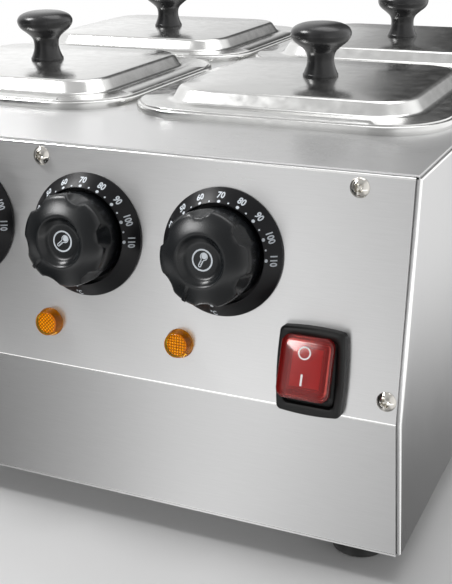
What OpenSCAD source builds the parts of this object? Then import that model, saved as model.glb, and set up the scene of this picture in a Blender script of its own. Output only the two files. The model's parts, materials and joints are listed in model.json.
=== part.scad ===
/* [Casing] */
// Height from the base plate to the top of the deck
case_h = 185; // [178:1:230]
// Thickness of the sheet steel
sheet = 1; // [0.8:0.1:1.2]
// Length of the control face along its slope
control_h = 110; // [106:1:120]
// Backward lean of the control face in degrees
control_lean = 8; // [2:0.5:12]
// Inward lean of the lower face in degrees
kick_lean = 8; // [2:0.5:12]
// Width of the flanges folded in from the panels
flange_w = 12; // [11:0.5:14]
// Room between the wells and the flanges at the sides
flange_room = 1.5; // [1:0.5:25]
// Gap from the casing's sides to the front panel's ends
front_gap = 2.5; // [1.5:0.1:3]
// Step from the casing's corners to the deck's cut edge
deck_step = 1.5; // [0.5:0.1:2.5]
// Height of the rubber feet
foot_h = 18; // [12:1:25]

/* [Controls] */
// Distance between neighbouring knobs
knob_pitch = 72; // [70:0.5:74]
// Offset of the row of knobs from the casing's middle
knob_offset = -10; // [-12:0.5:-6]
// Distance of the knob axes below the top corner, along the slope
knob_drop = 42; // [38:0.5:44]
// Angle that the third knob is turned on from the off stop
third_turn = 24; // [0:1:60]
// Angle of the off stop, clockwise from the top of the dial
off_angle = -156; // [-170:1:-140]
// Distance from a knob's axis leftwards to its lamp
lamp_left = 20.2; // [18:0.1:23]
// Distance from a knob's axis down to its lamp
lamp_down = 46.7; // [44:0.1:50]
// Distance of the switch from the casing's right side
switch_side = 42.3; // [36:0.1:46]
// Distance of the switch below the top corner, along the slope
switch_drop = 90.5; // [86:0.1:92]
// Tilt of the rocker each way from level
rocker_tilt = 12.5; // [10:0.5:13]

/* [Pans] */
// Width of a pan over its rim
pan_w = 176; // [170:1:200]
// Depth of a pan over its rim, front to back
pan_d = 162; // [150:1:190]
// Height of a pan from its rim to its floor
pan_h = 100; // [80:1:105]
// Plain strip of deck in front of the pans
front_strip = 66; // [64:1:90]
// Plain strip of deck behind the pans
rear_strip = 16; // [14:1:60]
// Gap between the rims of neighbouring pans
pan_gap = 4; // [3:0.5:20]
// Wall of the pans and lids
pan_wall = 0.8; // [0.6:0.1:1]
// Width of a pan's flat rim around its bowl
rim_w = 10; // [8:0.5:11]
// Height of a pan's rim above the deck
rim_h = 4; // [3:0.5:5]
// Radius of a rim's corners
rim_r = 36; // [28:1:40]
// Height of a lid's raised middle
lid_rise = 8; // [5:0.5:12]
// Height of a lid's knob
lid_knob_h = 30; // [22:1:35]

/* [Hidden] */
$fn = 64;
eps = 0.01;
dials = [0 : 3];

// The third knob stands one mark off its stop, the others are off
pointer_angles = [off_angle, off_angle, off_angle + third_turn, off_angle];

// Colours
steel = [0.72, 0.72, 0.71];
bare_steel = [0.6, 0.6, 0.6];
black_plastic = [0.09, 0.09, 0.095];
black_rubber = [0.05, 0.05, 0.05];
amber = [0.85, 0.45, 0.06, 0.9];
red = [0.75, 0.1, 0.08];

// Width over the side panels and depth from the top front corner to the rear panel
well_clear = 2;
well_lip = 3;
bowl_w = pan_w - 2 * rim_w;
bowl_d = pan_d - 2 * rim_w;
case_w = pan_gap + pan_w + bowl_w + 2 * (well_clear + sheet + well_lip + flange_room + flange_w);
case_d = front_strip + 2 * pan_d + pan_gap + rear_strip;

// Levels of the casing
base_z = foot_h;
skin_low = foot_h + sheet;
deck_top = foot_h + case_h;
skin_top = deck_top - sheet;
crease_z = skin_top - control_h * cos(control_lean);

// The front skin, measured backwards from the crease; depth is the distance behind its face
function skin_y(z, depth) = max(
    (z - crease_z) * tan(control_lean) + depth / cos(control_lean),
    (crease_z - z) * tan(kick_lean) + depth / cos(kick_lean));
function crease_at(depth) = crease_z + depth * (1 / cos(kick_lean) - 1 / cos(control_lean))
    / (tan(control_lean) + tan(kick_lean));
function front_line(depth, low, high) = [
    [skin_y(low, depth), low],
    [skin_y(crease_at(depth), depth), crease_at(depth)],
    [skin_y(high, depth), high]];
function reversed(list) = [for (i = [len(list) - 1 : -1 : 0]) list[i]];

corner_y = skin_y(skin_top, 0);
rear_y = corner_y + case_d;
kick_y = skin_y(skin_low, 0);

// Knob, turned about its axis: radius and distance in front of the panel
knob_r = 22;
knob_front = 20;
knob_profile = [
    [0, 21.8], [7.8, 21.8], [9.3, 22.3], [10.6, 23.3], [11.5, 24.6], [12, 25], [13.2, 24.9], [17, 23.7],
    [20, 22.3], [21.2, 21.4], [21.8, 20.4], [knob_r, 19], [knob_r, 17], [21.6, 6], [21.4, 2.2]];
knob_hollow_r = 17.6;
knob_hollow_top = 12.5;
knob_hub_r = 6.2;
knob_hub_low = 5;
flute_r = 9;
flute_depth = 2.6;
flute_lean = 22;
pointer_w = 1.7;
pointer_profile = [
    [12.1, 23], [12.1, 25], [13.2, 25], [17, 24.2], [20, 23.1], [21.4, 22.3], [22.1, 21], [22.1, 18],
    [21, 17]];

// Bezel, thermostat and spindle
bezel_r = 30;
bezel_floor = 1.5;
bezel_rim = 1.2;
recess_r = 23.1;
recess_edge = 7.8;
bush_r = 5;
bush_front = 4;
bush_clear = 0.2;
spindle_r = 3;
spindle_fit = 0.05;
spindle_back = 14;
spindle_front = 17;
spindle_flat = 2.2;
clamp_screw_x = 11;
thermostat_size = [36, 42, 27];
tab_y = -8;
tab_l = 8;
tab_end = -sheet - thermostat_size[2] - tab_l;

// Lamps
lamp_flange_r = 7.1;
lamp_flange_h = 1;
lamp_lens_r = 6.8;
lamp_lens_h = 5;
lamp_lens_taper = 0.6;
lamp_edge = 0.5;
lamp_body_r = 4.8;
lamp_body_l = 28;
lamp_tab_l = 8;

// Switch, in front of the panel
switch_x = case_w / 2 - switch_side;
frame_size = [32, 40.8];
frame_bulge = 1;
frame_h = 5.5;
frame_window = [24.4, 31.4];
face_size = [26, 32];
face_h = 2;
switch_body_size = [22, 28, 24];
switch_tab_l = 9;
rocker_size = [17, 20.6];
rocker_clear = 0.9;
rocker_swing = 4.6;
rocker_pivot = -5.5;
rocker_low = 5;
rocker_top = 16.3;
pin_r = 1.5;
pin_fit = 0.05;
skirt_size = [20.6, 23];
skirt_low = 10.6;
cap_size = [24.4, 28.6];
cap_corner_r = 4.2;
cap_low = 15;
cap_top = 19.8;
cap_side_h = 3;
cap_edge = 0.8;
cap_crown = 0.5;
cap_crown_r = 7;

// Screws
screw_head_r = 4.5;
screw_head_h = 2.6;
screw_r = 2;
top_screw_x = case_w / 2 - 26.5;
top_screw_drop = 6.2;
low_screw_x = case_w / 2 - 7.5;
low_screw_drop = 99.6;
rear_screw_x = case_w / 2 - 6.5;
rear_screw_inset = 25;

// Cord gland, in the rear panel
gland_x = 47.5 - case_w / 2;
gland_z = 50;
gland_bore_r = 4.1;
gland_nut = 5;
gland_dome = 10;
gland_thread_r = 8;

// Wells and heaters
well_floor_gap = 3;
bowl_r = 28;
well_r = bowl_r + well_clear;
bowl_taper = 4;
bowl_round = 12;
pan_floor = deck_top + rim_h - pan_h;
rim_top = deck_top + rim_h;
well_floor = pan_floor - well_floor_gap;
heater_size = [112, 112, 6];
heater_corner_r = 8;
stud_x = 12;
stud_r = 3;
stud_l = 8;
bulb_r = 3;
bulb_l = 70;
bulb_x = heater_size[0] / 2 + 10;

// Pans stand in two columns and two rows: 1 front left, 2 rear left, 3 rear right, 4 front right
pan_x = [-1, -1, 1, 1] * (pan_w + pan_gap) / 2;
pan_row = [0, 1, 1, 0];
function pan_y(i) = corner_y + front_strip + pan_d / 2 + pan_row[i] * (pan_d + pan_gap);

function knob_x(i) = knob_offset + (i - 1.5) * knob_pitch;
function drop_y(drop) = (control_h - drop) * sin(control_lean);

// The whole melter, knobs and gland included, is centred front to back
knob_reach = max([for (p = knob_profile) p[1] * cos(control_lean) + p[0] * sin(control_lean)]);
front_reach = drop_y(knob_drop) - knob_reach;
rear_reach = rear_y + gland_nut + gland_dome;
centre_y = (front_reach + rear_reach) / 2;

module centred() { translate([0, -centre_y, 0]) children(); }

// Places children on the control face: X to the right, Y up the slope, Z out of it
module on_face(x, drop) {
    translate([x, drop_y(drop), skin_top - drop * cos(control_lean)])
        rotate([90 - control_lean, 0, 0]) children();
}

// Extrudes an outline drawn in Y and Z along X
module along_x(low, high) {
    translate([low, 0, 0]) rotate([90, 0, 90]) linear_extrude(high - low) children();
}

module block(low, high) { translate(low) cube(high - low); }

module tube_bore(r, low, high) { translate([0, 0, low]) cylinder(r = r, h = high - low); }

module rounded(w, d, r) {
    square([w - 2 * r, d], center = true);
    square([w, d - 2 * r], center = true);
    for (x = [-1, 1], y = [-1, 1])
        translate([x * (w / 2 - r), y * (d / 2 - r)]) circle(r);
}

// Rectangle with gently bulging sides
module bulged(size, bulge) {
    r_side = (pow(size[1] / 2, 2) + pow(bulge, 2)) / (2 * bulge);
    r_end = (pow(size[0] / 2, 2) + pow(bulge, 2)) / (2 * bulge);
    intersection() {
        translate([size[0] / 2 - r_side, 0]) circle(r_side, $fn = 180);
        translate([r_side - size[0] / 2, 0]) circle(r_side, $fn = 180);
        translate([0, size[1] / 2 - r_end]) circle(r_end, $fn = 180);
        translate([0, r_end - size[1] / 2]) circle(r_end, $fn = 180);
        circle(norm(size) / 2 - 1.8);
    }
}

// Domed screw with a cross recess; its head stands on the plane Z = 0
module screw(shank) {
    dome_r = screw_head_r + 1.5;
    difference() {
        intersection() {
            translate([0, 0, screw_head_h - dome_r]) sphere(dome_r);
            cylinder(r = screw_head_r, h = screw_head_h + 1);
        }
        for (turn = [0, 90])
            rotate(turn + 45) translate([-2.3, -0.5, screw_head_h - 1.3]) cube([4.6, 1, 3]);
    }
    translate([0, 0, -shank]) cylinder(r = screw_r, h = shank + eps);
}

function unit(v) = v / norm(v);
function heading(route, i) = unit(
    (i > 0 ? unit(route[i] - route[i - 1]) : [0, 0, 0])
    + (i < len(route) - 1 ? unit(route[i + 1] - route[i]) : [0, 0, 0]));
function side_at(route, i) = let (
        t = heading(route, i), s = i == 0 ? [0.36, 0.48, 0.8] : side_at(route, i - 1))
    unit(s - (s * t) * t);

// Wire or thin tube along a route of points
module wire(route, r, sides = 8) {
    count = len(route);
    polyhedron(
        points = [for (i = [0 : count - 1])
            let (s = side_at(route, i), q = cross(heading(route, i), s))
            for (k = [0 : sides - 1])
                route[i] + r * (cos(360 * k / sides) * s + sin(360 * k / sides) * q)],
        faces = concat(
            [[for (k = [0 : sides - 1]) k]],
            [[for (k = [sides - 1 : -1 : 0]) (count - 1) * sides + k]],
            [for (i = [0 : count - 2], k = [0 : sides - 1]) let (n = (k + 1) % sides)
                [i * sides + k, (i + 1) * sides + k, (i + 1) * sides + n, i * sides + n]]));
}

// Casing

front_w = case_w - 2 * front_gap;
inner_flange_w = case_w - 2 * flange_w - 3;

module front_holes() {
    for (i = dials) {
        on_face(knob_x(i), knob_drop) {
            tube_bore(bush_r + bush_clear, -5, 5);
            for (x = [-1, 1]) translate([x * clamp_screw_x, 0, 0]) tube_bore(screw_r + bush_clear, -5, 5);
        }
        on_face(knob_x(i) - lamp_left, knob_drop + lamp_down) tube_bore(lamp_body_r + bush_clear, -5, 5);
    }
    on_face(switch_x, switch_drop) translate([0, 0, -5]) linear_extrude(10)
        square([switch_body_size[0] + 0.4, switch_body_size[1] + 0.4], center = true);
    at_panel_screws() tube_bore(screw_r + bush_clear, -5, 5);
}

module at_panel_screws() {
    for (x = [-top_screw_x, 0, top_screw_x]) on_face(x, top_screw_drop) children();
    for (x = [-low_screw_x, low_screw_x]) on_face(x, low_screw_drop) children();
}

module front_panel() {
    color(steel) centred() difference() {
        union() {
            along_x(-front_w / 2, front_w / 2) polygon(concat(
                front_line(0, skin_low, skin_top), reversed(front_line(sheet, skin_low, skin_top))));
            block([-inner_flange_w / 2, corner_y, skin_top - sheet],
                [inner_flange_w / 2, corner_y + flange_w, skin_top]);
            block([-inner_flange_w / 2, kick_y, skin_low],
                [inner_flange_w / 2, kick_y + flange_w, skin_low + sheet]);
        }
        front_holes();
    }
}

rail_leg = 14;
rail_t = 1.5;

module front_rail() {
    low = skin_top - sheet - rail_leg;
    high = skin_top - sheet;
    color(bare_steel) centred() difference() {
        union() {
            along_x(-inner_flange_w / 2, inner_flange_w / 2) polygon([
                [skin_y(low, sheet), low], [skin_y(high, sheet), high],
                [skin_y(high, sheet + rail_t), high], [skin_y(low, sheet + rail_t), low]]);
            block([-inner_flange_w / 2, skin_y(high, sheet) + eps, high - rail_t],
                [inner_flange_w / 2, corner_y + flange_w, high]);
        }
        at_panel_screws() tube_bore(screw_r + bush_clear, -5, 5);
    }
}

module side_outline(depth) {
    polygon(concat(front_line(sheet + depth, skin_low + depth, skin_top - depth),
        [[rear_y - sheet - depth, skin_top - depth], [rear_y - sheet - depth, skin_low + depth]]));
}

// A tray with a flange folded in all round
module side_panel(hand) {
    color(steel) centred() mirror([hand < 0 ? 1 : 0, 0, 0]) difference() {
        along_x(case_w / 2 - flange_w, case_w / 2) side_outline(0);
        along_x(case_w / 2 - flange_w - 1, case_w / 2 - sheet) side_outline(sheet);
        at_panel_screws() tube_bore(screw_r + bush_clear, -5, 5);
        at_rear_screws() tube_bore(screw_r + bush_clear, -5, 5);
    }
}

module at_rear_screws() {
    for (x = [-rear_screw_x, rear_screw_x],
        z = [skin_low + rear_screw_inset, (skin_low + skin_top) / 2, skin_top - rear_screw_inset])
        translate([x, rear_y, z]) rotate([-90, 0, 0]) children();
}

rear_slot = [4, 50];
rear_slot_pitch = 12;
rear_slot_lift = 20;
base_slot = [5, 45];
base_slot_pitch = 14;
base_slot_inset = 90;

module slot_row(count, pitch, size) {
    for (i = [0 : count - 1]) translate([(i - (count - 1) / 2) * pitch, 0]) square(size, center = true);
}

module rear_panel() {
    color(steel) centred() difference() {
        union() {
            block([-front_w / 2, rear_y - sheet, skin_low], [front_w / 2, rear_y, skin_top]);
            block([-inner_flange_w / 2, rear_y - flange_w, skin_top - sheet],
                [inner_flange_w / 2, rear_y, skin_top]);
            block([-inner_flange_w / 2, rear_y - flange_w, skin_low],
                [inner_flange_w / 2, rear_y, skin_low + sheet]);
        }
        translate([0, rear_y, (skin_low + skin_top) / 2 + rear_slot_lift]) rotate([90, 0, 0])
            linear_extrude(10, center = true) slot_row(16, rear_slot_pitch, rear_slot);
        translate([gland_x, rear_y, gland_z]) rotate([90, 0, 0])
            cylinder(r = gland_thread_r + 0.2, h = 10, center = true);
        at_rear_screws() tube_bore(screw_r + bush_clear, -5, 5);
    }
}

foot_side = 30;
foot_inset = 32;
foot_x = case_w / 2 - foot_side;
foot_rows = [kick_y + foot_inset, rear_y - foot_inset];

module at_feet() {
    for (x = [-foot_x, foot_x], y = foot_rows) translate([x, y, 0]) children();
}

module base_plate() {
    color(steel) centred() difference() {
        block([-front_w / 2, kick_y + 0.5, base_z], [front_w / 2, rear_y - 0.5, skin_low]);
        at_feet() tube_bore(screw_r + bush_clear, base_z - 1, skin_low + 1);
        for (y = [kick_y + base_slot_inset, (kick_y + rear_y) / 2, rear_y - base_slot_inset])
            translate([0, y, base_z - 1]) linear_extrude(sheet + 2) slot_row(14, base_slot_pitch, base_slot);
    }
}

module deck_plate() {
    color(steel) centred() difference() {
        block([deck_step - case_w / 2, corner_y + deck_step, skin_top],
            [case_w / 2 - deck_step, rear_y - deck_step, deck_top]);
        for (i = dials) translate([pan_x[i], pan_y(i), skin_top - 1]) linear_extrude(sheet + 2)
            rounded(bowl_w + 2 * well_clear, bowl_d + 2 * well_clear, well_r);
    }
}

module panel_screws() {
    color(bare_steel) centred() at_panel_screws() screw(8);
}

module rear_screws() {
    color(bare_steel) centred() at_rear_screws() screw(8);
}

foot_low_r = 14;
foot_top_r = 17;
foot_recess_r = 6;
foot_floor = 8;
nut_r = 4;
nut_h = 3.2;

module feet() {
    color(black_rubber) centred() at_feet() difference() {
        cylinder(r1 = foot_low_r, r2 = foot_top_r, h = foot_h);
        tube_bore(foot_recess_r, -1, foot_floor);
        tube_bore(screw_r + bush_clear, foot_floor - 1, foot_h + 1);
    }
}

module foot_screws() {
    color(bare_steel) centred() at_feet() {
        translate([0, 0, foot_floor]) rotate([180, 0, 0]) screw(skin_low + nut_h + 1.5 - foot_floor);
        translate([0, 0, skin_low]) cylinder(r = nut_r, h = nut_h, $fn = 6);
    }
}

// Heating

module well(i) {
    color(bare_steel) centred() translate([pan_x[i], pan_y(i), 0]) difference() {
        union() {
            translate([0, 0, well_floor - sheet]) linear_extrude(skin_top - well_floor + sheet)
                rounded(bowl_w + 2 * (well_clear + sheet), bowl_d + 2 * (well_clear + sheet), well_r + sheet);
            translate([0, 0, skin_top - sheet]) linear_extrude(sheet)
                rounded(bowl_w + 2 * (well_clear + sheet + well_lip),
                    bowl_d + 2 * (well_clear + sheet + well_lip), well_r + sheet + well_lip);
        }
        translate([0, 0, well_floor]) linear_extrude(skin_top - well_floor + 1)
            rounded(bowl_w + 2 * well_clear, bowl_d + 2 * well_clear, well_r);
    }
}

module heater(i) {
    top = well_floor - sheet;
    color([0.45, 0.38, 0.3]) centred() translate([pan_x[i], pan_y(i), 0]) {
        translate([0, 0, top - heater_size[2]]) linear_extrude(heater_size[2])
            rounded(heater_size[0], heater_size[1], heater_corner_r);
        for (x = [-stud_x, stud_x])
            translate([x, 0, top - heater_size[2] - stud_l]) cylinder(r = stud_r, h = stud_l + eps);
    }
}

module thermostat(i) {
    color([0.55, 0.55, 0.56]) centred() on_face(knob_x(i), knob_drop) difference() {
        union() {
            translate([-thermostat_size[0] / 2, -thermostat_size[1] / 2, -sheet - thermostat_size[2]])
                cube(thermostat_size);
            tube_bore(bush_r, -sheet - 1, bush_front);
            for (x = [-10, 10])
                block([x - 3, tab_y - 0.4, tab_end], [x + 3, tab_y + 0.4, tab_end + tab_l + 1]);
        }
        tube_bore(spindle_r + spindle_fit, -spindle_back - 0.5, bush_front + 1);
        for (x = [-1, 1]) translate([x * clamp_screw_x, 0, 0]) tube_bore(screw_r, -sheet - 8, 0);
    }
}

module thermostat_screws() {
    color(bare_steel) centred() for (i = dials, x = [-1, 1])
        on_face(knob_x(i), knob_drop) translate([x * clamp_screw_x, 0, bezel_floor]) scale(0.8) screw(9);
}

// Point behind the control face, given in the face's own directions and turned back to upright ones
function behind_face(x, drop, depth) = [x,
    drop_y(drop) + depth * cos(control_lean),
    skin_top - drop * cos(control_lean) - depth * sin(control_lean)];

// Capillary tubes run from the thermostats down behind the front, then back to bulbs under the wells
module capillary_tubes() {
    bulb_z = well_floor - sheet - bulb_r;
    color([0.65, 0.4, 0.25]) centred() for (i = dials) {
        back = sheet + thermostat_size[2];
        start = behind_face(knob_x(i), knob_drop - 8, back);
        out = behind_face(knob_x(i), knob_drop - 8, back + 5);
        down_y = out[1] + 24 + 3 * i;
        run_z = bulb_z - 9 - 4 * pan_row[i];
        end_x = pan_x[i] + bulb_x;
        end_y = pan_y(i) - bulb_l / 2;
        wire([start, out, [start[0], down_y - 3, out[2] - 1], [start[0], down_y, out[2] - 4],
            [start[0], down_y, run_z + 3], [start[0] + 2, down_y + 3, run_z], [end_x - 3, down_y + 7, run_z],
            [end_x, down_y + 10, run_z], [end_x, end_y - 12, run_z], [end_x, end_y - 5, bulb_z],
            [end_x, end_y + 1, bulb_z]], 1);
        translate([end_x, end_y, bulb_z]) rotate([-90, 0, 0]) cylinder(r = bulb_r, h = bulb_l);
    }
}

// Controls on the front

module bezel(i) {
    color(black_plastic) centred() on_face(knob_x(i), knob_drop) difference() {
        rotate_extrude($fn = 96) polygon([
            [bush_r + bush_clear, 0], [bezel_r, 0], [bezel_r, bezel_rim - 0.4], [bezel_r - 0.4, bezel_rim],
            [recess_r + 0.3, recess_edge], [recess_r, recess_edge - 0.3], [recess_r, bezel_floor],
            [bush_r + bush_clear, bezel_floor]]);
        for (x = [-1, 1])
            translate([x * clamp_screw_x, 0, 0]) tube_bore(screw_r + bush_clear, -1, bezel_floor + 1);
    }
}

module spindle(i) {
    color(bare_steel) centred() on_face(knob_x(i), knob_drop) rotate(-pointer_angles[i]) difference() {
        tube_bore(spindle_r, -spindle_back, spindle_front);
        block([-spindle_r - 1, spindle_flat, 8], [spindle_r + 1, spindle_r + 1, spindle_front + 1]);
    }
}

module knob(i) {
    color(black_plastic) centred() on_face(knob_x(i), knob_drop) rotate(-pointer_angles[i]) difference() {
        union() {
            rotate_extrude($fn = 96) polygon(concat(knob_profile, [
                [knob_hollow_r, knob_profile[len(knob_profile) - 1][1]], [knob_hollow_r, knob_hollow_top],
                [knob_hub_r, knob_hollow_top], [knob_hub_r, knob_hub_low], [0, knob_hub_low]]));
            translate([-pointer_w / 2, 0, 0]) rotate([90, 0, 90])
                linear_extrude(pointer_w) polygon(pointer_profile);
        }
        difference() {
            tube_bore(spindle_r + spindle_fit, knob_hub_low - 1, spindle_front + 0.5);
            block([-spindle_r - 1, spindle_flat + spindle_fit, 8.5],
                [spindle_r + 1, spindle_r + 1, spindle_front + 1]);
        }
        for (k = [0 : 5]) rotate(30 + 60 * k) translate([0, knob_r - flute_depth + flute_r, knob_front])
            rotate([flute_lean, 0, 0]) cylinder(r = flute_r, h = 50, center = true);
    }
}

module at_lamps() {
    for (i = dials) on_face(knob_x(i) - lamp_left, knob_drop + lamp_down) children();
}

module lamp_lenses() {
    color(amber) centred() at_lamps() rotate_extrude() polygon([
        [0, 0], [lamp_flange_r, 0], [lamp_flange_r, lamp_flange_h - lamp_edge],
        [lamp_lens_r, lamp_flange_h], [lamp_lens_r - lamp_lens_taper, lamp_lens_h - lamp_edge],
        [lamp_lens_r - lamp_lens_taper - lamp_edge, lamp_lens_h], [0, lamp_lens_h]]);
}

module lamp_bodies() {
    color(black_plastic) centred() at_lamps() {
        tube_bore(lamp_body_r, -lamp_body_l, 0);
        translate([0, 0, -sheet - 4]) cylinder(r = 8, h = 4, $fn = 6);
        for (x = [-2, 2]) block([x - 0.4, -2, -lamp_body_l - lamp_tab_l], [x + 0.4, 2, -lamp_body_l + eps]);
    }
}

module switch_frame() {
    color(black_rubber) centred() on_face(switch_x, switch_drop) difference() {
        linear_extrude(frame_h) bulged(frame_size, frame_bulge);
        translate([0, 0, -1]) linear_extrude(frame_h + 2) rounded(frame_window[0], frame_window[1], 3);
        translate([0, 0, -1]) linear_extrude(face_h + 1)
            square([face_size[0] + 0.2, face_size[1] + 0.2], center = true);
    }
}

module switch_body() {
    cavity = [rocker_size[0] + 2 * rocker_clear, rocker_size[1] + rocker_swing];
    color(black_plastic) centred() on_face(switch_x, switch_drop) difference() {
        union() {
            translate([0, 0, -switch_body_size[2]]) linear_extrude(switch_body_size[2] + eps)
                square([switch_body_size[0], switch_body_size[1]], center = true);
            linear_extrude(face_h) square(face_size, center = true);
            for (x = [-5, 5], y = [-7, 7])
                block([x - 0.4, y - 3, -switch_body_size[2] - switch_tab_l],
                    [x + 0.4, y + 3, -switch_body_size[2] + eps]);
        }
        translate([0, 0, -13]) linear_extrude(20) square(cavity, center = true);
        translate([0, 0, rocker_pivot]) rotate([0, 90, 0])
            cylinder(r = pin_r + pin_fit, h = cavity[0] + 2, center = true);
    }
}

// Places children in the rocker's frame: Z out of the switch from the pivot, tipped to the off side
module on_rocker() {
    centred() on_face(switch_x, switch_drop) translate([0, 0, rocker_pivot])
        rotate([-rocker_tilt, 0, 0]) children();
}

module switch_rocker() {
    color(red) on_rocker() {
        translate([0, 0, -rocker_low]) linear_extrude(rocker_low + rocker_top)
            square(rocker_size, center = true);
        rotate([0, 90, 0]) cylinder(r = pin_r, h = rocker_size[0] + 2 * rocker_clear + 1.6, center = true);
    }
}

module switch_skirt() {
    color(black_rubber) on_rocker() difference() {
        translate([0, 0, skirt_low]) linear_extrude(cap_low - skirt_low)
            rounded(skirt_size[0], skirt_size[1], 3);
        translate([0, 0, skirt_low - 1]) linear_extrude(20)
            square([rocker_size[0] + 0.2, rocker_size[1] + 0.2], center = true);
    }
}

module switch_cap() {
    corner = [cap_size[0] / 2 - cap_corner_r, cap_size[1] / 2 - cap_corner_r];
    color(red) on_rocker() difference() {
        hull() {
            for (x = [-1, 1], y = [-1, 1]) translate([x * corner[0], y * corner[1], cap_low]) {
                cylinder(r = cap_corner_r, h = cap_side_h, $fn = 32);
                cylinder(r = cap_corner_r - cap_edge, h = cap_top - cap_low - cap_crown, $fn = 32);
            }
            translate([0, 0, cap_low]) cylinder(r = cap_crown_r, h = cap_top - cap_low, $fn = 32);
        }
        translate([0, 0, cap_low - 1]) linear_extrude(1 + rocker_top + 0.2 - cap_low)
            square([rocker_size[0] + 0.2, rocker_size[1] + 0.2], center = true);
    }
}

// Mains parts

module cable_gland() {
    color(black_plastic) centred() translate([gland_x, rear_y, gland_z]) rotate([-90, 0, 0]) difference() {
        union() {
            cylinder(r = 13, h = gland_nut, $fn = 6);
            translate([0, 0, gland_nut - eps]) cylinder(r1 = 11, r2 = 8, h = gland_dome + eps);
            tube_bore(gland_thread_r, -12, eps);
            translate([0, 0, -sheet - 4]) cylinder(r = 11.5, h = 4, $fn = 6);
        }
        tube_bore(gland_bore_r, -13, gland_nut + gland_dome + 1);
    }
}

terminal_size = [60, 20, 18];
terminal_pitch = 11;
terminal_r = 3;
terminal_back = 60;
terminal_y = rear_y - terminal_back;

module terminal_block() {
    color([0.85, 0.84, 0.8]) centred() translate([gland_x, terminal_y, skin_low]) difference() {
        translate([-terminal_size[0] / 2, -terminal_size[1] / 2, 0]) cube(terminal_size);
        for (k = [-2 : 2]) translate([k * terminal_pitch, 0, 0]) {
            tube_bore(terminal_r, terminal_size[2] / 2 - 1, terminal_size[2] + 2);
            translate([0, 0, terminal_size[2] / 2]) rotate([90, 0, 0])
                cylinder(r = terminal_r - 1, h = terminal_size[1] + 10, center = true);
        }
    }
}

wire_r = 1.2;
terminal_z = skin_low + terminal_size[2] / 2;
terminal_front = terminal_y - terminal_size[1] / 2 + 2;
wire_spread = 1.6;
wire_out = 6;
live_z = 40;
supply_z = 25;
stud_z = well_floor - sheet - heater_size[2] - stud_l;

// A wire's end behind a tab or stud, and the point where it has come straight out of it
function tab_ends(x, drop, depth) = [behind_face(x, drop, depth), behind_face(x, drop, depth + wire_out)];
function stud_ends(i, side, turn) = let (
        x = pan_x[i] + side * stud_x + wire_spread * cos(turn), y = pan_y(i) + wire_spread * sin(turn))
    [[x, y, stud_z], [x, y, stud_z - wire_out]];

module wiring() {
    // Behind the switch's and the thermostats' tabs
    switch_depth = switch_body_size[2] + switch_tab_l;
    tab_depth = -tab_end;
    tab_drop = knob_drop - tab_y;
    color([0.7, 0.7, 0.68]) centred() {
        // Terminal block to the switch
        for (k = [0, 1])
            wire(concat([[gland_x + terminal_pitch * k, terminal_front, terminal_z],
                [gland_x + terminal_pitch * k, terminal_front - 8, terminal_z],
                [gland_x + terminal_pitch * k, terminal_y - 26 + 6 * k, supply_z],
                [switch_x - 5 + 10 * k, terminal_y - 46 + 6 * k, supply_z],
                behind_face(switch_x - 5 + 10 * k, switch_drop + 45, 60)],
                reversed(tab_ends(switch_x - 5 + 10 * k, switch_drop + 7, switch_depth))), wire_r, 6);
        // Switch to the thermostats, from one to the next
        for (i = dials)
            wire(concat(i < 3 ? concat(tab_ends(knob_x(i + 1) + 10 - wire_spread, tab_drop, tab_depth),
                [behind_face(knob_x(i + 1) + 5, tab_drop + 3, tab_depth + 2 * wire_out)])
                : tab_ends(switch_x - 5, switch_drop - 7, switch_depth),
                [behind_face(knob_x(i) + 18, tab_drop + 3, tab_depth + 2 * wire_out)],
                reversed(tab_ends(knob_x(i) + 10 + wire_spread, tab_drop, tab_depth))), wire_r, 6);
        // Thermostats to the lamps and to the heaters
        for (i = dials) {
            wire(concat(tab_ends(knob_x(i) - 10 - wire_spread, tab_drop, tab_depth),
                reversed(tab_ends(knob_x(i) - lamp_left - 2, knob_drop + lamp_down,
                    lamp_body_l + lamp_tab_l))), wire_r, 6);
            wire(concat(tab_ends(knob_x(i) - 10 + wire_spread, tab_drop, tab_depth),
                [behind_face(knob_x(i) - 10 + wire_spread, knob_drop + 16, tab_depth + 12),
                [knob_x(i) - 9, 62, live_z + 14 + 4 * i], [knob_x(i) - 9, 72, live_z + 4 * i],
                [pan_x[i] - stud_x, pan_y(i) - 30, live_z + 4 * i]],
                reversed(stud_ends(i, -1, 0))), wire_r, 6);
        }
        // Returns, from heater to heater and back to the terminal block
        for (i = [0 : 2]) wire(concat(stud_ends(i, 1, 0), [stud_ends(i, 1, 0)[1] - [0, 0, wire_out],
            stud_ends(i + 1, 1, 120)[1] - [0, 0, wire_out]], reversed(stud_ends(i + 1, 1, 120))), wire_r, 6);
        wire(concat(stud_ends(1, 1, 240), [[gland_x - terminal_pitch, terminal_front - 8, terminal_z],
            [gland_x - terminal_pitch, terminal_front, terminal_z]]), wire_r, 6);
    }
}

// Pans and lids

module pan(i) {
    color(steel) centred() translate([pan_x[i], pan_y(i), 0]) difference() {
        union() {
            translate([0, 0, rim_top - pan_wall]) linear_extrude(pan_wall) rounded(pan_w, pan_d, rim_r);
            translate([0, 0, deck_top]) linear_extrude(rim_h - eps) difference() {
                rounded(pan_w, pan_d, rim_r);
                rounded(pan_w - 2 * pan_wall, pan_d - 2 * pan_wall, rim_r - pan_wall);
            }
            bowl(0);
        }
        bowl(pan_wall);
    }
}

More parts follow.
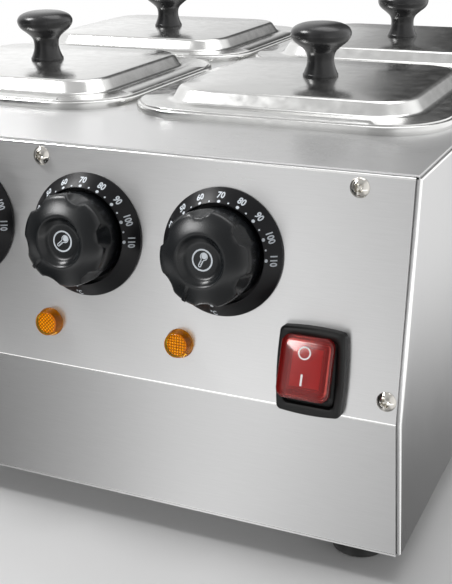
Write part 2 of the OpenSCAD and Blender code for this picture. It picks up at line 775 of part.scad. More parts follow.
// Tapered bowl with a rounded foot; the inside is smaller by its wall and open at the top
module bowl(wall) {
    low = pan_floor + wall;
    hull() for (x = [-1, 1], y = [-1, 1]) {
        translate([x * (bowl_w / 2 - bowl_r), y * (bowl_d / 2 - bowl_r), rim_top - 1])
            cylinder(r = bowl_r - wall, h = 1 + (wall > 0 ? 1 : 0), $fn = 40);
        for (step = [[bowl_round, 0], [bowl_round * 0.3, 0.3], [0, 1]])
            translate([x * (bowl_w / 2 - bowl_r - bowl_taper), y * (bowl_d / 2 - bowl_r - bowl_taper),
                low + step[0]])
                cylinder(r = bowl_r - wall - step[1] * bowl_round, h = 0.1, $fn = 40);
    }
}

lid_inset = 2;
lid_strip = 8;
lid_r = 22;
lid_slope = 6;
lid_lip_clear = 2.2;
lid_lip_h = rim_h - 0.5;

module lid(i) {
    color(steel) centred() translate([pan_x[i], pan_y(i), rim_top]) difference() {
        union() {
            linear_extrude(pan_wall) rounded(pan_w - 2 * lid_inset, pan_d - 2 * lid_inset, rim_r - lid_inset);
            lid_middle(0);
            translate([0, 0, -lid_lip_h]) linear_extrude(lid_lip_h + eps) difference() {
                lip_outline(0);
                lip_outline(pan_wall);
            }
        }
        lid_middle(pan_wall);
        cylinder(r = 2.5, h = 50);
    }
}

module lip_outline(inset) {
    gap = pan_wall + lid_lip_clear + inset;
    rounded(bowl_w - 2 * gap, bowl_d - 2 * gap, bowl_r - gap);
}

module lid_middle(wall) {
    w = bowl_w / 2 - lid_strip - lid_r;
    d = bowl_d / 2 - lid_strip - lid_r;
    translate([0, 0, -wall]) hull() for (x = [-1, 1], y = [-1, 1]) {
        translate([x * w, y * d, 0]) cylinder(r = lid_r - wall, h = 0.1, $fn = 32);
        translate([x * (w - lid_slope), y * (d - lid_slope), 0])
            cylinder(r = lid_r - wall, h = lid_rise, $fn = 32);
    }
}

lid_knob_r = 17;
lid_knob_foot_r = 10;
lid_knob_neck_r = 7.5;

module lid_knob(i) {
    seat = rim_top + lid_rise;
    h = lid_knob_h;
    color(black_plastic) centred() translate([pan_x[i], pan_y(i), seat]) {
        rotate_extrude() polygon([
            [0, 0], [lid_knob_foot_r, 0], [lid_knob_foot_r, 2], [lid_knob_neck_r, h * 0.3],
            [lid_knob_neck_r + 1, h * 0.5], [lid_knob_r - 2, h * 0.66], [lid_knob_r, h * 0.78],
            [lid_knob_r - 1.5, h * 0.92], [lid_knob_r / 2, h * 0.99], [0, h]]);
        tube_bore(2.2, -pan_wall - 3, eps);
        translate([0, 0, -pan_wall - 3]) cylinder(r = 5, h = 3, $fn = 6);
    }
}

front_panel();
front_rail();
side_panel(-1);  // side_panel_left
side_panel(1);  // side_panel_right
rear_panel();
base_plate();
deck_plate();
panel_screws();
rear_screws();
foot_screws();
thermostat_screws();
feet();
well(0);  // well_1
well(1);  // well_2
well(2);  // well_3
well(3);  // well_4
heater(0);  // heater_1
heater(1);  // heater_2
heater(2);  // heater_3
heater(3);  // heater_4
thermostat(0);  // thermostat_1
thermostat(1);  // thermostat_2
thermostat(2);  // thermostat_3
thermostat(3);  // thermostat_4
capillary_tubes();
wiring();
terminal_block();
cable_gland();
bezel(0);  // bezel_1
bezel(1);  // bezel_2
bezel(2);  // bezel_3
bezel(3);  // bezel_4
spindle(0);  // spindle_1
spindle(1);  // spindle_2
spindle(2);  // spindle_3
spindle(3);  // spindle_4
knob(0);  // knob_1
knob(1);  // knob_2
knob(2);  // knob_3
knob(3);  // knob_4
lamp_lenses();
lamp_bodies();
switch_frame();
switch_body();
switch_rocker();
switch_skirt();
switch_cap();
pan(0);  // pan_1
pan(1);  // pan_2
pan(2);  // pan_3
pan(3);  // pan_4
lid(0);  // lid_1
lid(1);  // lid_2
lid(2);  // lid_3
lid(3);  // lid_4
lid_knob(0);  // lid_knob_1
lid_knob(1);  // lid_knob_2
lid_knob(2);  // lid_knob_3
lid_knob(3);  // lid_knob_4
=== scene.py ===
# %% [markdown]
# # A chocolate melter, dressed piece by piece
#
# The imported model gives every piece of the machine in metres: +X runs right, +Y to the rear and +Z up. This
# lesson keeps that frame and gives each visible piece its finer shape and its finish. Whatever is made here,
# save the switch boot's fold, rides on its CAD piece's body, so knobs, switch, lids and pans still move.

# %% Load the frame
import json
from math import acos, asin, copysign, cos, degrees, hypot, pi, radians, sin, sqrt, tan
import bpy
import bmesh
from mathutils import Vector, Matrix

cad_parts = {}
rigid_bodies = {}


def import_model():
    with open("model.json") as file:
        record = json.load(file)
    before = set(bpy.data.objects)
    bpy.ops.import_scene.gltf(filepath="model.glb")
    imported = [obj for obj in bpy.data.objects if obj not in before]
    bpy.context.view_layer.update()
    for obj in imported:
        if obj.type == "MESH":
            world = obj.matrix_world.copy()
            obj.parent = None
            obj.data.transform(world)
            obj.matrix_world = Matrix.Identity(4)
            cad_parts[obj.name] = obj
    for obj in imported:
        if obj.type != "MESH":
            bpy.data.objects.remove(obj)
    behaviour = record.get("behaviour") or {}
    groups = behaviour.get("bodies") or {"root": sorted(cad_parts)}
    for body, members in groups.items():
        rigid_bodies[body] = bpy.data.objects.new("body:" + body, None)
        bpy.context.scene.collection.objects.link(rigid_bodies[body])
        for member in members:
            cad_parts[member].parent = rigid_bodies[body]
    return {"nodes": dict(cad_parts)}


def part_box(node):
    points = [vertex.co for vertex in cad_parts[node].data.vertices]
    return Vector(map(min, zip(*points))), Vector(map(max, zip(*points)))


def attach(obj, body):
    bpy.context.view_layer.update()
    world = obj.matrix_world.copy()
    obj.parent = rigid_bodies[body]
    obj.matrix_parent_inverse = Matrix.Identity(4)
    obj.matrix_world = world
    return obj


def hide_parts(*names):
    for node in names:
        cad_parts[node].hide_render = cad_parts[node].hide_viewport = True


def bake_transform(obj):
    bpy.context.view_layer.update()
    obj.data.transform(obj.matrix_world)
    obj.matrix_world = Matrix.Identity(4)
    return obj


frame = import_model()
scene = bpy.context.scene
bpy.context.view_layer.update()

# %% [markdown]
# ## The camera
#
# A photo's camera can be worked out from things of known size. Here the round dials and the front's straight
# edges fix where the lens stood: right of the machine, a little above the dials, half a metre away. The lens
# is written for the longer side of the picture, as Blender does with its automatic sensor fit.

# %% Place the camera
def new_object(name, data):
    made = bpy.data.objects.new(name, data)
    scene.collection.objects.link(made)
    return made

def looking(place, aim):
    """Matrix for a camera or lamp that stands at a place and looks at another."""
    return Matrix.Translation(place) @ (aim - place).to_track_quat("-Z", "Y").to_matrix().to_4x4()

camera_place = Vector((0.2984, -0.6382, 0.3239))
camera_aim = Vector((0.10058, -0.20475, 0.14207))
camera_roll = radians(-0.93)
camera_data = bpy.data.cameras.new("camera")
camera_data.lens = 68.19
camera_data.sensor_width = 36.0
camera = new_object("camera", camera_data)
camera.matrix_world = looking(camera_place, camera_aim) @ Matrix.Rotation(camera_roll, 4, "Z")
scene.camera = camera
print("camera is", round((camera_aim - camera_place).length, 3), "m from the front")

# %% [markdown]
# ## The control face's own directions
#
# The front leans back by eight degrees, and everything on it follows. It is easiest to model a knob or a lamp
# lying flat, in millimetres, with Z out of the panel, and to carry it to its place with one matrix. `on_face`
# builds that matrix from a place across the machine and a drop below the top corner.

# %% Sizes of the casing and the matrix for the control face
MM = 0.001
lean = radians(8.0)
control_h = 110.0
case_w = 375.0
front_w = 370.0
sheet = 1.0
base_z = 18.0
deck_top = 203.0
skin_low = base_z + sheet
skin_top = deck_top - sheet
flange_w = 12.0
crease_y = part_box("front_panel")[0].y / MM
crease_z = skin_top - control_h * cos(lean)
corner_y = crease_y + control_h * sin(lean)
kick_y = crease_y + (crease_z - skin_low) * tan(lean)
rear_y = corner_y + 410.0
knob_drop = 42.0
knob_x = [-118.0, -46.0, 26.0, 98.0]
off_angle, third_turn = -156.0, 24.0
pointer_angles = [off_angle, off_angle, off_angle + third_turn, off_angle]

across = Vector((1.0, 0.0, 0.0))
up_slope = Vector((0.0, sin(lean), cos(lean)))
out = Vector((0.0, -cos(lean), sin(lean)))

def place_matrix(x_axis, y_axis, z_axis, origin_mm):
    m = Matrix((x_axis, y_axis, z_axis)).transposed().to_4x4()
    m.translation = origin_mm
    return Matrix.Scale(MM, 4) @ m

def on_face(x, drop):
    rise = control_h - drop
    origin = Vector((x, crease_y + rise * sin(lean), crease_z + rise * cos(lean)))
    return place_matrix(across, up_slope, out, origin)

upright = Matrix.Scale(MM, 4)
print("crease at", round(crease_y, 1), round(crease_z, 1), "top corner at", round(corner_y, 1), skin_top)

# %% [markdown]
# ## Helpers for meshes
#
# Nearly everything on this machine is either turned, like a knob, or drawn out of a closed outline, like a
# pan. Both are rows of points joined by four-sided faces. `skin` joins the rows, `turned` makes them from a
# profile of radius and height, and `soften` cuts the corners off a profile, because a rounded edge is what
# catches the light on a real product.

# %% Rows of points into faces
def skin(rows, close=True, cap_first=False, cap_last=False):
    count = len(rows[0])
    verts = [p for row in rows for p in row]
    faces = []
    for a in range(len(rows) - 1):
        for k in range(count if close else count - 1):
            n = (k + 1) % count
            faces.append((a * count + k, a * count + n, (a + 1) * count + n, (a + 1) * count + k))
    if cap_first:
        faces.append(tuple(reversed(range(count))))
    if cap_last:
        last = (len(rows) - 1) * count
        faces.append(tuple(range(last, last + count)))
    return verts, faces

def soften(points, rounds=2):
    for _ in range(rounds):
        cut = [points[0]]
        for a, b in zip(points, points[1:]):
            cut.append(tuple(0.75 * p + 0.25 * q for p, q in zip(a, b)))
            cut.append(tuple(0.25 * p + 0.75 * q for p, q in zip(a, b)))
        points = cut + [points[-1]]
    return points

def ring_of(r, z, steps):
    return [(r * cos(2 * pi * k / steps), r * sin(2 * pi * k / steps), z)
            for k in range(steps)]

def clock(r, angle, z=0.0):
    """Point at a radius and an angle, in degrees clockwise from the top."""
    return (r * sin(radians(angle)), r * cos(radians(angle)), z)

def turned(profile, steps=96):
    return [ring_of(r, z, steps) for r, z in profile]

def rounded_corners(points, radius, arcs=6):
    """Profile with each inner corner replaced by an arc; radius may be one number or one per corner."""
    path = [Vector(points[0])]
    for i in range(1, len(points) - 1):
        a, b, c = Vector(points[i - 1]), Vector(points[i]), Vector(points[i + 1])
        r = radius[i - 1] if isinstance(radius, (list, tuple)) else radius
        u, v = (a - b).normalized(), (c - b).normalized()
        half = acos(max(-1.0, min(1.0, u.dot(v)))) / 2
        if r <= 0 or half > pi / 2 - 1e-4:
            path.append(b)
            continue
        back = r / tan(half)
        middle = b + (u + v).normalized() * (r / sin(half))
        start, end = b + u * back - middle, b + v * back - middle
        for s in range(arcs + 1):
            t = s / arcs
            path.append(middle + ((1 - t) * start + t * end).normalized() * r)
    path.append(Vector(points[-1]))
    return [tuple(p) for p in path]

print("helpers ready")

# %% [markdown]
# A mesh becomes a piece when it has a name, a finish and a body to ride on. `add_piece` does all of that,
# turns the normals outwards, merges doubled points, and shades smooth across soft edges only, so a folded
# sheet keeps its flat faces while its bends stay round.

# %% Make a piece of the machine
def add_piece(name, parts, matrix, finish, body, replaces=(), crisp=40.0):
    bm = bmesh.new()
    for verts, faces in parts:
        made = [bm.verts.new(matrix @ Vector(p)) for p in verts]
        for f in faces:
            try:
                bm.faces.new([made[k] for k in f])
            except ValueError:
                pass
    bmesh.ops.remove_doubles(bm, verts=bm.verts, dist=2e-6)
    bmesh.ops.dissolve_degenerate(bm, edges=bm.edges, dist=1e-6)
    bmesh.ops.recalc_face_normals(bm, faces=bm.faces)
    for f in bm.faces:
        f.smooth = True
    for e in bm.edges:
        e.smooth = len(e.link_faces) != 2 or e.calc_face_angle(0.0) < radians(crisp)
    data = bpy.data.meshes.new(name)
    bm.to_mesh(data)
    bm.free()
    piece = new_object(name, data)
    data.materials.append(finish)
    if body:
        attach(piece, body)
    if replaces:
        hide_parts(*replaces)
    print(name, "has", len(data.polygons), "faces")
    return piece

# %% [markdown]
# ## Helpers for finishes
#
# A finish is a small tree of nodes. It starts from the Principled shader, gets its colour spread from noise,
# and its roughness and bump from finer noise, because even a plain moulded surface is never perfectly even.
# All patterns are read in object space, so they stay on the piece when it moves.

# %% A short way to write node trees
class Nodes:
    """Writes a node tree. An input is a value, or the output that feeds it."""
    def __init__(self, tree):
        self.tree = tree

    def feed(self, socket, value):
        if hasattr(value, "links"):
            self.tree.links.new(value, socket)
        elif socket.type == "RGBA":
            socket.default_value = (*value, 1.0)
        else:
            socket.default_value = value

    def add(self, kind, inputs=(), **settings):
        node = self.tree.nodes.new("ShaderNode" + kind)
        for key, value in settings.items():
            setattr(node, key, value)
        for key, value in dict(inputs).items():
            self.feed(node.inputs[key], value)
        return node

    def calc(self, kind, *values):
        return self.add("Math", enumerate(values), operation=kind).outputs[0]

    def spread(self, source, low, high, source_low=0.3, source_high=0.7, **settings):
        """Maps a pattern's values to a range."""
        return self.add("MapRange", {"Value": source, "From Min": source_low, "From Max": source_high,
                                     "To Min": low, "To Max": high}, **settings).outputs["Result"]

    def mixed(self, share, first, second):
        """Mixes two shaders."""
        return self.add("MixShader", {0: share, 1: first, 2: second}).outputs[0]

class Finish(Nodes):
    """A material that starts as one Principled shader."""
    def __init__(self, name, colour, roughness, metallic=0.0):
        self.material = bpy.data.materials.new(name)
        self.material.use_nodes = True
        super().__init__(self.material.node_tree)
        self.shader = self.tree.nodes["Principled BSDF"]
        self.set("Base Color", colour)
        self.set("Roughness", roughness)
        self.set("Metallic", metallic)
        self.where = self.add("TexCoord").outputs["Object"]

    def set(self, socket, value):
        self.feed(self.shader.inputs[socket], value)

    def noise(self, size, detail=2.0, stretch=(1.0, 1.0, 1.0)):
        """Noise in object space; size is in grains per metre."""
        scaled = self.add("Mapping", {"Vector": self.where, "Scale": stretch}).outputs["Vector"]
        return self.add("TexNoise", {"Vector": scaled, "Scale": size, "Detail": detail}).outputs["Fac"]

    def blend_colours(self, source, first, second):
        mix = self.add("Mix", {"Factor": source, "A": first, "B": second}, data_type="RGBA")
        return mix.outputs["Result"]

    def bump(self, source, height):
        bump = self.add("Bump", {"Height": source, "Strength": 1.0, "Distance": height})
        self.set("Normal", bump.outputs[0])

    def surface(self, shader):
        self.feed(self.tree.nodes["Material Output"].inputs["Surface"], shader)

def times(colour, factor):
    return [c * factor for c in colour]

print("finishes can be written")

# %% [markdown]
# ## Brushed steel
#
# The casing is stainless sheet brushed in one direction. The fine scratches all run the same way, so
# reflections smear across them. A noise stretched along the grain gives the streaks; it drives colour,
# roughness and a tiny bump, and the shader's own anisotropy does the smearing, which is widest across the
# scratches. The grain runs left to right on the front and the deck, and up and down on the sides.

# %% Make brushed steel
streaks, scuffs = 45.0, 9.0

def brushed(name, grain, smear, colour=(0.60, 0.60, 0.60), roughness=0.31, anisotropy=0.80):
    f = Finish(name, colour, roughness, metallic=1.0)
    fine = f.noise(90.0, 4.0, [1.0 if g else streaks for g in grain])
    broad = f.noise(22.0, 3.0, [1.0 if g else scuffs for g in grain])
    smudge = f.noise(9.0)
    f.set("Base Color", f.blend_colours(f.spread(fine, 0.0, 1.0, 0.25, 0.75), times(colour, 0.955),
                                        times(colour, 1.03)))
    f.set("Roughness", f.calc("ADD", f.spread(fine, roughness - 0.03, roughness + 0.03),
                              f.spread(smudge, -0.015, 0.02)))
    f.set("Anisotropic", anisotropy)
    f.set("Tangent", f.add("CombineXYZ", enumerate(smear)).outputs[0])
    f.bump(f.calc("ADD", fine, f.spread(broad, 0.0, 0.4, 0.0, 1.0)), 0.000004)
    return f.material

steel_front = brushed("steel_brushed_across", (1, 0, 0), (0, 0, 1))
steel_side = brushed("steel_brushed_upright", (0, 0, 1), (0, 1, 0), roughness=0.30)
steel_deck = brushed("steel_brushed_deck", (1, 0, 0), (0, 1, 0), roughness=0.30)
steel_inside = brushed("steel_plain_inside", (0, 0, 1), (1, 0, 0), (0.52, 0.52, 0.51), 0.36, 0.2)
print("brushed finishes: front, side, deck and inside")

# %% [markdown]
# The outside of a bend is rubbed while the sheet is handled, so it is smoother than the faces beside it, with
# hardly any streaks; its lighter colour is a painted highlight that draws a bright line along the bend. Screws,
# tubes and pans are the same metal finish with other colours.

# %% Make the polished line of a bend, with its painted highlight
def polished(name, colour, roughness):
    f = Finish(name, colour, roughness, metallic=1.0)
    rub = f.noise(160.0, 3.0)
    f.set("Roughness", f.spread(rub, roughness * 0.8, roughness * 1.3))
    f.set("Base Color", f.blend_colours(rub, times(colour, 0.96), colour))
    f.bump(f.noise(420.0), 0.000006)
    return f.material

# The bend's base colour, lighter than the steel beside it, is a painted highlight.
bend_line_painted_highlight = polished("steel_bend_line", (0.86, 0.86, 0.85), 0.20)
screw_steel = polished("steel_screw", (0.60, 0.58, 0.54), 0.09)
plated_steel = polished("steel_plated", (0.55, 0.55, 0.53), 0.33)
drawn_copper = polished("copper_tube", (0.78, 0.42, 0.26), 0.28)
pressed_steel = polished("steel_pressed_pan", (0.66, 0.66, 0.65), 0.20)
print("metal finishes:", len(bpy.data.materials))

# %% [markdown]
# ## Moulded plastics and rubber
#
# The dials are satin black with a very fine grain, like most controls that have to resist finger marks. The
# knob, the ring and the switch's rubber differ mostly in roughness, so one function makes all of them.

# %% Make the moulded finishes
def moulded(name, colour, roughness, grain=2600.0, depth=0.00001, lift=0.35, specular=0.5):
    f = Finish(name, colour, roughness)
    cloud = f.noise(55.0, 3.0)
    f.set("Base Color", f.blend_colours(cloud, times(colour, 1 - lift), times(colour, 1 + lift)))
    f.set("Roughness", f.spread(cloud, roughness - 0.03, roughness + 0.04))
    f.set("Specular IOR Level", specular)
    f.bump(f.noise(grain), depth)
    return f.material

knob_black = moulded("plastic_knob_black", (0.005, 0.006, 0.007), 0.26, specular=0.40)
dial_black = moulded("plastic_dial_black", (0.006, 0.006, 0.007), 0.32, grain=2200.0, specular=0.18)
rubber_black = moulded("rubber_black", (0.008, 0.008, 0.008), 0.42, grain=1800.0, depth=0.00002, specular=0.3)
socket_black = moulded("plastic_hidden_black", (0.02, 0.02, 0.02), 0.5)
lid_knob_black = moulded("plastic_lid_knob", (0.017, 0.017, 0.018), 0.25)
mark_white = moulded("paint_marks_white", (0.56, 0.60, 0.64), 0.45, lift=0.04)
switch_white = moulded("paint_switch_white", (0.90, 0.85, 0.85), 0.45, lift=0.04)
heater_grey = moulded("heater_case", (0.30, 0.28, 0.25), 0.5, lift=0.15)
sleeve_white = moulded("wire_sleeve", (0.62, 0.61, 0.57), 0.55, lift=0.06)
nylon_white = moulded("nylon_block", (0.74, 0.73, 0.68), 0.5, lift=0.04)
print("with the mouldings:", len(bpy.data.materials), "finishes")

# %% [markdown]
# ## Clear amber and clear red
#
# The lamps' lenses and the switch's boot are coloured and let light through. Real refraction would need many
# light paths, so each of them mixes a coloured surface with a see-through one tinted the same way, under a
# thin gloss. What lies behind shows in the right colour, and shadows through it stay soft.

# %% Make the clear plastics
def clear(name, colour, tint, see_through, gloss=0.08, ior=1.52):
    f = Finish(name, colour, 0.4)
    f.set("Base Color", f.blend_colours(f.noise(300.0), times(colour, 0.88), colour))
    f.set("Specular IOR Level", 0.0)
    body = f.mixed(see_through, f.shader.outputs[0], f.add("BsdfTransparent", {"Color": tint}).outputs[0])
    ripple = f.spread(f.noise(700.0), gloss * 0.8, gloss * 1.2)
    shine = f.add("BsdfGlossy", {"Roughness": ripple}).outputs[0]
    f.surface(f.mixed(f.add("Fresnel", {"IOR": ior}).outputs[0], body, shine))
    return f.material

boot_red = clear("boot_clear_red", (0.62, 0.010, 0.010), (1.0, 0.42, 0.38), 0.80, gloss=0.08)
lamp_ring = clear("lamp_clear_amber", (0.80, 0.25, 0.004), (1.0, 0.55, 0.04), 0.55, gloss=0.06, ior=1.35)
lamp_front = clear("lamp_clear_front", (0.95, 0.45, 0.01), (1.0, 0.90, 0.30), 0.94, gloss=0.05, ior=1.2)
# The plug's side, sunk in the cup, is coloured dark amber: painted shade.
lamp_painted_shade = moulded("lamp_plug_side", (0.20, 0.045, 0.002), 0.3, lift=0.2)
rocker_red = moulded("rocker_red", (0.66, 0.014, 0.012), 0.30, grain=900.0, depth=0.00008, lift=0.25)
# Near-black red for the rocker's rim: painted shade of the gap round the rocker.
rocker_painted_shade = moulded("rocker_dark_edge", (0.10, 0.008, 0.008), 0.35)
print("finishes:", len(bpy.data.materials))

# %% [markdown]
# ## The front panel
#
# The front is one sheet, bent at the top under the deck, along the crease, and at the bottom under the
# machine. Such a sheet is a path of points with arcs at its bends, drawn across the machine and given its
# thickness. The crease is only sixteen degrees, but it reads as a crisp bright line.

# %% Bend the front panel
bend_r = 1.1
crease_r = 3.5
inner_w = 348.0

def sheet_path(outer, radii, thickness):
    """The outside of a folded sheet with arcs, and the same path one thickness further in."""
    out_path = rounded_corners(outer, radii)
    count = len(out_path)
    inside = []
    for i, p in enumerate(out_path):
        a = Vector(out_path[max(i - 1, 0)])
        b = Vector(out_path[min(i + 1, count - 1)])
        d = (b - a).normalized()
        inside.append((p[0] - d.y * thickness, p[1] + d.x * thickness))
    return out_path, inside

front_outline = [(kick_y + flange_w, skin_low), (kick_y, skin_low), (crease_y, crease_z),
                 (corner_y, skin_top), (corner_y + flange_w, skin_top)]
path, inner = sheet_path([tuple(p) for p in reversed(front_outline)], [bend_r, crease_r, bend_r], sheet)

wide = 25

def drawn_across(y, z):
    """A row of points across the machine: the flanges are narrower than the face."""
    flange = y > (corner_y if z > crease_z else kick_y) + 0.9
    w = (inner_w if flange else front_w) / 2
    return [(-w + 2 * w * k / (wide - 1), y, z) for k in range(wide)]

rows = [drawn_across(y, z) for y, z in path + inner[::-1]]
verts, faces = skin(rows + [rows[0]], close=False)
ends = []
for i in range(len(path) - 1):
    a, b, c, d = (wide * k for k in (i, i + 1, len(rows) - 2 - i, len(rows) - 1 - i))
    ends.append((a, b, c, d))
    ends.append([k + wide - 1 for k in (a, d, c, b)])
front = add_piece("front_panel_bent", [(verts, faces + ends)], upright, steel_front, "casing",
                  ["front_panel"])

# %% [markdown]
# The arcs of the bends get the polished finish with its painted highlight. A face belongs to a bend when its
# normal lies clearly between the normals of the two flat faces beside it, so the finish is chosen by the normal
# alone.

# %% Polish the bends of the front and paint their highlight
def refinish(piece, finish, chosen):
    """Gives a second finish to the faces that are chosen by their normal and centre."""
    piece.data.materials.append(finish)
    faces = [face for face in piece.data.polygons if chosen(face.normal, face.center)]
    for face in faces:
        face.material_index = 1
    print(piece.name, "has", len(faces), "faces in", finish.name)

flat_normals = [out, Vector((0.0, -cos(lean), -sin(lean))), Vector((0, 0, 1)), Vector((0, 0, -1))]
refinish(front, bend_line_painted_highlight, lambda n, c: abs(n.x) < 0.1 and n.y < 0.2
             and all(n.dot(flat) < cos(radians(0.8)) for flat in flat_normals) and n.z > -0.9)

# %% [markdown]
# ## The side panels
#
# Each side is a shallow tray: a flat web whose outline repeats the kink of the front, with a flange folded in
# all round. Shrinking the outline while stepping in from the outer face draws the bend. Behind it a narrow
# groove is pressed into the flange: it is the dark line beside the front. The same steps one thickness
# further in make the inside.

# %% Fold the side panels
def shrink(outline, inset):
    """Moves each side of a closed outline inwards by the same distance."""
    count = len(outline)
    moved = []
    for i in range(count):
        a, b, c = (Vector(outline[(i + k) % count]) for k in (-1, 0, 1))
        d1, d2 = (b - a).normalized(), (c - b).normalized()
        n1, n2 = Vector((-d1.y, d1.x)), Vector((-d2.y, d2.x))
        m = (n1 + n2).normalized()
        moved.append(b + m * (inset / m.dot(n1)))
    return moved

def tray_rows(outline, outer_x, thickness, radius, flange, groove, arcs=6):
    turns = [radians(90 * k / arcs) for k in range(arcs + 1)]
    bend = [(1 - sin(t), 1 - cos(t)) for t in turns]
    steps = [(radius * a, radius * b) for a, b in bend]
    steps += [(groove, radius + 0.2), (groove, radius + 1.9), (0.0, radius + 2.4), (0.0, flange)]
    inner_r = radius - thickness
    steps.append((thickness, flange))
    steps += [(thickness + inner_r * a, thickness + inner_r * b) for a, b in bend[::-1]]
    rows = []
    for inset, depth in steps:
        ring = shrink(outline, inset)
        rows.append([(copysign(abs(outer_x) - depth, outer_x), p.x, p.y) for p in ring])
    return rows

side_bend_r = 1.5
side_groove = 2.4
inner_crease_y = crease_y + sheet / cos(lean)
side_outline = [(kick_y + sheet, skin_low), (rear_y - sheet, skin_low), (rear_y - sheet, skin_top),
                (corner_y + sheet, skin_top), (inner_crease_y, crease_z)]
for hand, word in ((-1, "left"), (1, "right")):
    rows = tray_rows(side_outline, hand * case_w / 2, sheet, side_bend_r, flange_w, side_groove)
    piece = add_piece("side_panel_" + word + "_folded", [skin(rows, cap_first=True, cap_last=True)], upright,
                      steel_side, "casing", ["side_panel_" + word])
    # The side's bend gets the same painted highlight.
    refinish(piece, bend_line_painted_highlight, lambda n, c: 0.15 < abs(n.x) < 0.985 and abs(c.x) > (case_w / 2 - 2.2) * MM)

# %% [markdown]
# ## Sheet pieces that keep their CAD shape
#
# The deck, the rear, the base and the wells already have the right shape. What they lack is the small break
# that every sheared edge has. Three modifiers give it without touching the mesh itself: weld joins the
# points, a planar decimate drops the needless edges, and a narrow bevel rounds what is left.

# %% Break the edges of CAD pieces
def broken_edges(node, finish, width):
    o = frame["nodes"][node]
    weld = o.modifiers.new("weld", "WELD")
    weld.merge_threshold = 2e-6
    flat = o.modifiers.new("flat", "DECIMATE")
    flat.decimate_type = "DISSOLVE"
    flat.angle_limit = radians(0.5)
    if width:
        bevel = o.modifiers.new("edge", "BEVEL")
        bevel.width = width * MM
        bevel.segments = 2
        bevel.limit_method = "ANGLE"
        bevel.angle_limit = radians(35.0)
    o.data.materials.clear()
    o.data.materials.append(finish)
    for face in o.data.polygons:
        face.material_index = 0

for node, finish, width in (("deck_plate", steel_deck, 0.18), ("rear_panel", steel_front, 0.2),
                            ("base_plate", steel_front, 0.2), ("front_rail", plated_steel, 0.2),
                            ("feet", rubber_black, 0.8), ("cable_gland", socket_black, 0.4),
                            ("terminal_block", nylon_white, 0.3), ("foot_screws", screw_steel, 0.0),
                            ("thermostat_screws", screw_steel, 0.0), ("capillary_tubes", drawn_copper, 0.0),
                            ("wiring", sleeve_white, 0.0), ("lamp_bodies", socket_black, 0.0),
                            ("switch_body", socket_black, 0.2)):
    broken_edges(node, finish, width)
for i in range(1, 5):
    broken_edges(f"well_{i}", steel_inside, 0.0)
    broken_edges(f"heater_{i}", heater_grey, 0.5)
    broken_edges(f"thermostat_{i}", plated_steel, 0.3)
    broken_edges(f"spindle_{i}", screw_steel, 0.2)
print("CAD pieces with a finish:", sum(1 for o in frame["nodes"].values() if o.modifiers))

# %% [markdown]
# ## The dials' rings
#
# Each ring is a turned disc: a thin straight edge, a cone that carries the marks, and a round recess that the
# knob sits in. Its profile is drawn once and turned four times.

# %% Turn the four rings
rim_r, rim_z, recess_r, recess_z = 30.0, 1.2, 23.2, 7.8
outer_side = [(rim_r, 0.0), (rim_r, rim_z), (recess_r, recess_z), (recess_r - 0.1, 1.5)]
ring_profile = [(5.2, 1.5), (5.2, 0.0), (rim_r, 0.0)]
ring_profile += rounded_corners(outer_side, [0.45, 0.35], 4)[1:] + [(5.2, 1.5)]
cone_slope = (recess_z - rim_z) / (rim_r - recess_r)
cone_run = 1.0 / sqrt(1.0 + cone_slope ** 2)

def cone_height(r):
    return recess_z - (r - recess_r) * cone_slope

on_dials = [on_face(x, knob_drop) for x in knob_x]
for i, place in enumerate(on_dials, 1):
    add_piece(f"dial_ring_{i}", [skin(turned(ring_profile, 144))], place, dial_black, "casing",
              [f"bezel_{i}"], crisp=28.0)

# %% [markdown]
# ## The marks on the rings
#
# The numbers are printed, so they are thin flat shapes lying on the cone. Blender's own letter shapes are
# narrowed and bent round the ring: a point's place along the line becomes an angle, and its height a distance
# from the axis. Big dots stand at the tens and small ones halfway. From 30 to 110 is half a turn.

# %% Numbers and dots
def letters(text, height, narrow=0.8, weight=0.03):
    """Flat outline mesh of a short text, centred on its middle, standing on y = 0."""
    curve = bpy.data.curves.new("letters", "FONT")
    curve.body = text
    curve.align_x = "CENTER"
    curve.offset = weight
    curve.resolution_u = 3
    holder = new_object("letters", curve)
    bpy.context.view_layer.update()
    flat = holder.evaluated_get(bpy.context.evaluated_depsgraph_get())
    data = flat.to_mesh()
    scale = height / max(v.co.y for v in data.vertices)
    verts = [(v.co.x * scale * narrow, v.co.y * scale) for v in data.vertices]
    faces = [tuple(p.vertices) for p in data.polygons]
    flat.to_mesh_clear()
    bpy.data.objects.remove(holder)
    bpy.data.curves.remove(curve)
    return verts, faces

print_lift = 0.03
mark_step = 22.5
number_r, number_h = 25.8, 3.4
dot_r, big_dot, small_dot = 24.3, 0.8, 0.46

def on_cone(angle, sideways, radial):
    """Point on the cone: angle is in degrees clockwise from the top, sideways in mm along the ring."""
    return clock(radial, angle + degrees(sideways / radial), cone_height(radial) + print_lift)

def round_dot(angle, radius, steps=14):
    points = [on_cone(angle, x, dot_r + cone_run * y) for x, y, _ in ring_of(radius, 0, steps)]
    return points, [tuple(range(steps))]

marks = []
for heat in range(30, 115, 5):
    angle = (heat - 70) * mark_step / 10
    if heat % 10 == 0:
        verts, faces = letters(str(heat), number_h)
        marks.append(([on_cone(angle, x, number_r + cone_run * y) for x, y in verts], faces))
    marks.append(round_dot(angle, small_dot if heat % 10 else big_dot))

unit_u, unit_v = -3.3, -29.45
verts, faces = letters("°C", 2.4, 0.9)
left = min(x for x, y in verts)
upright_marks = [(unit_u + x - left, unit_v + y) for x, y in verts]
marks.append(([(u, v, cone_height(hypot(u, v)) + print_lift) for u, v in upright_marks], faces))
marks.append(round_dot(-177.0, big_dot))
for i, place in enumerate(on_dials, 1):
    add_piece(f"dial_marks_{i}", marks, place, mark_white, "casing")

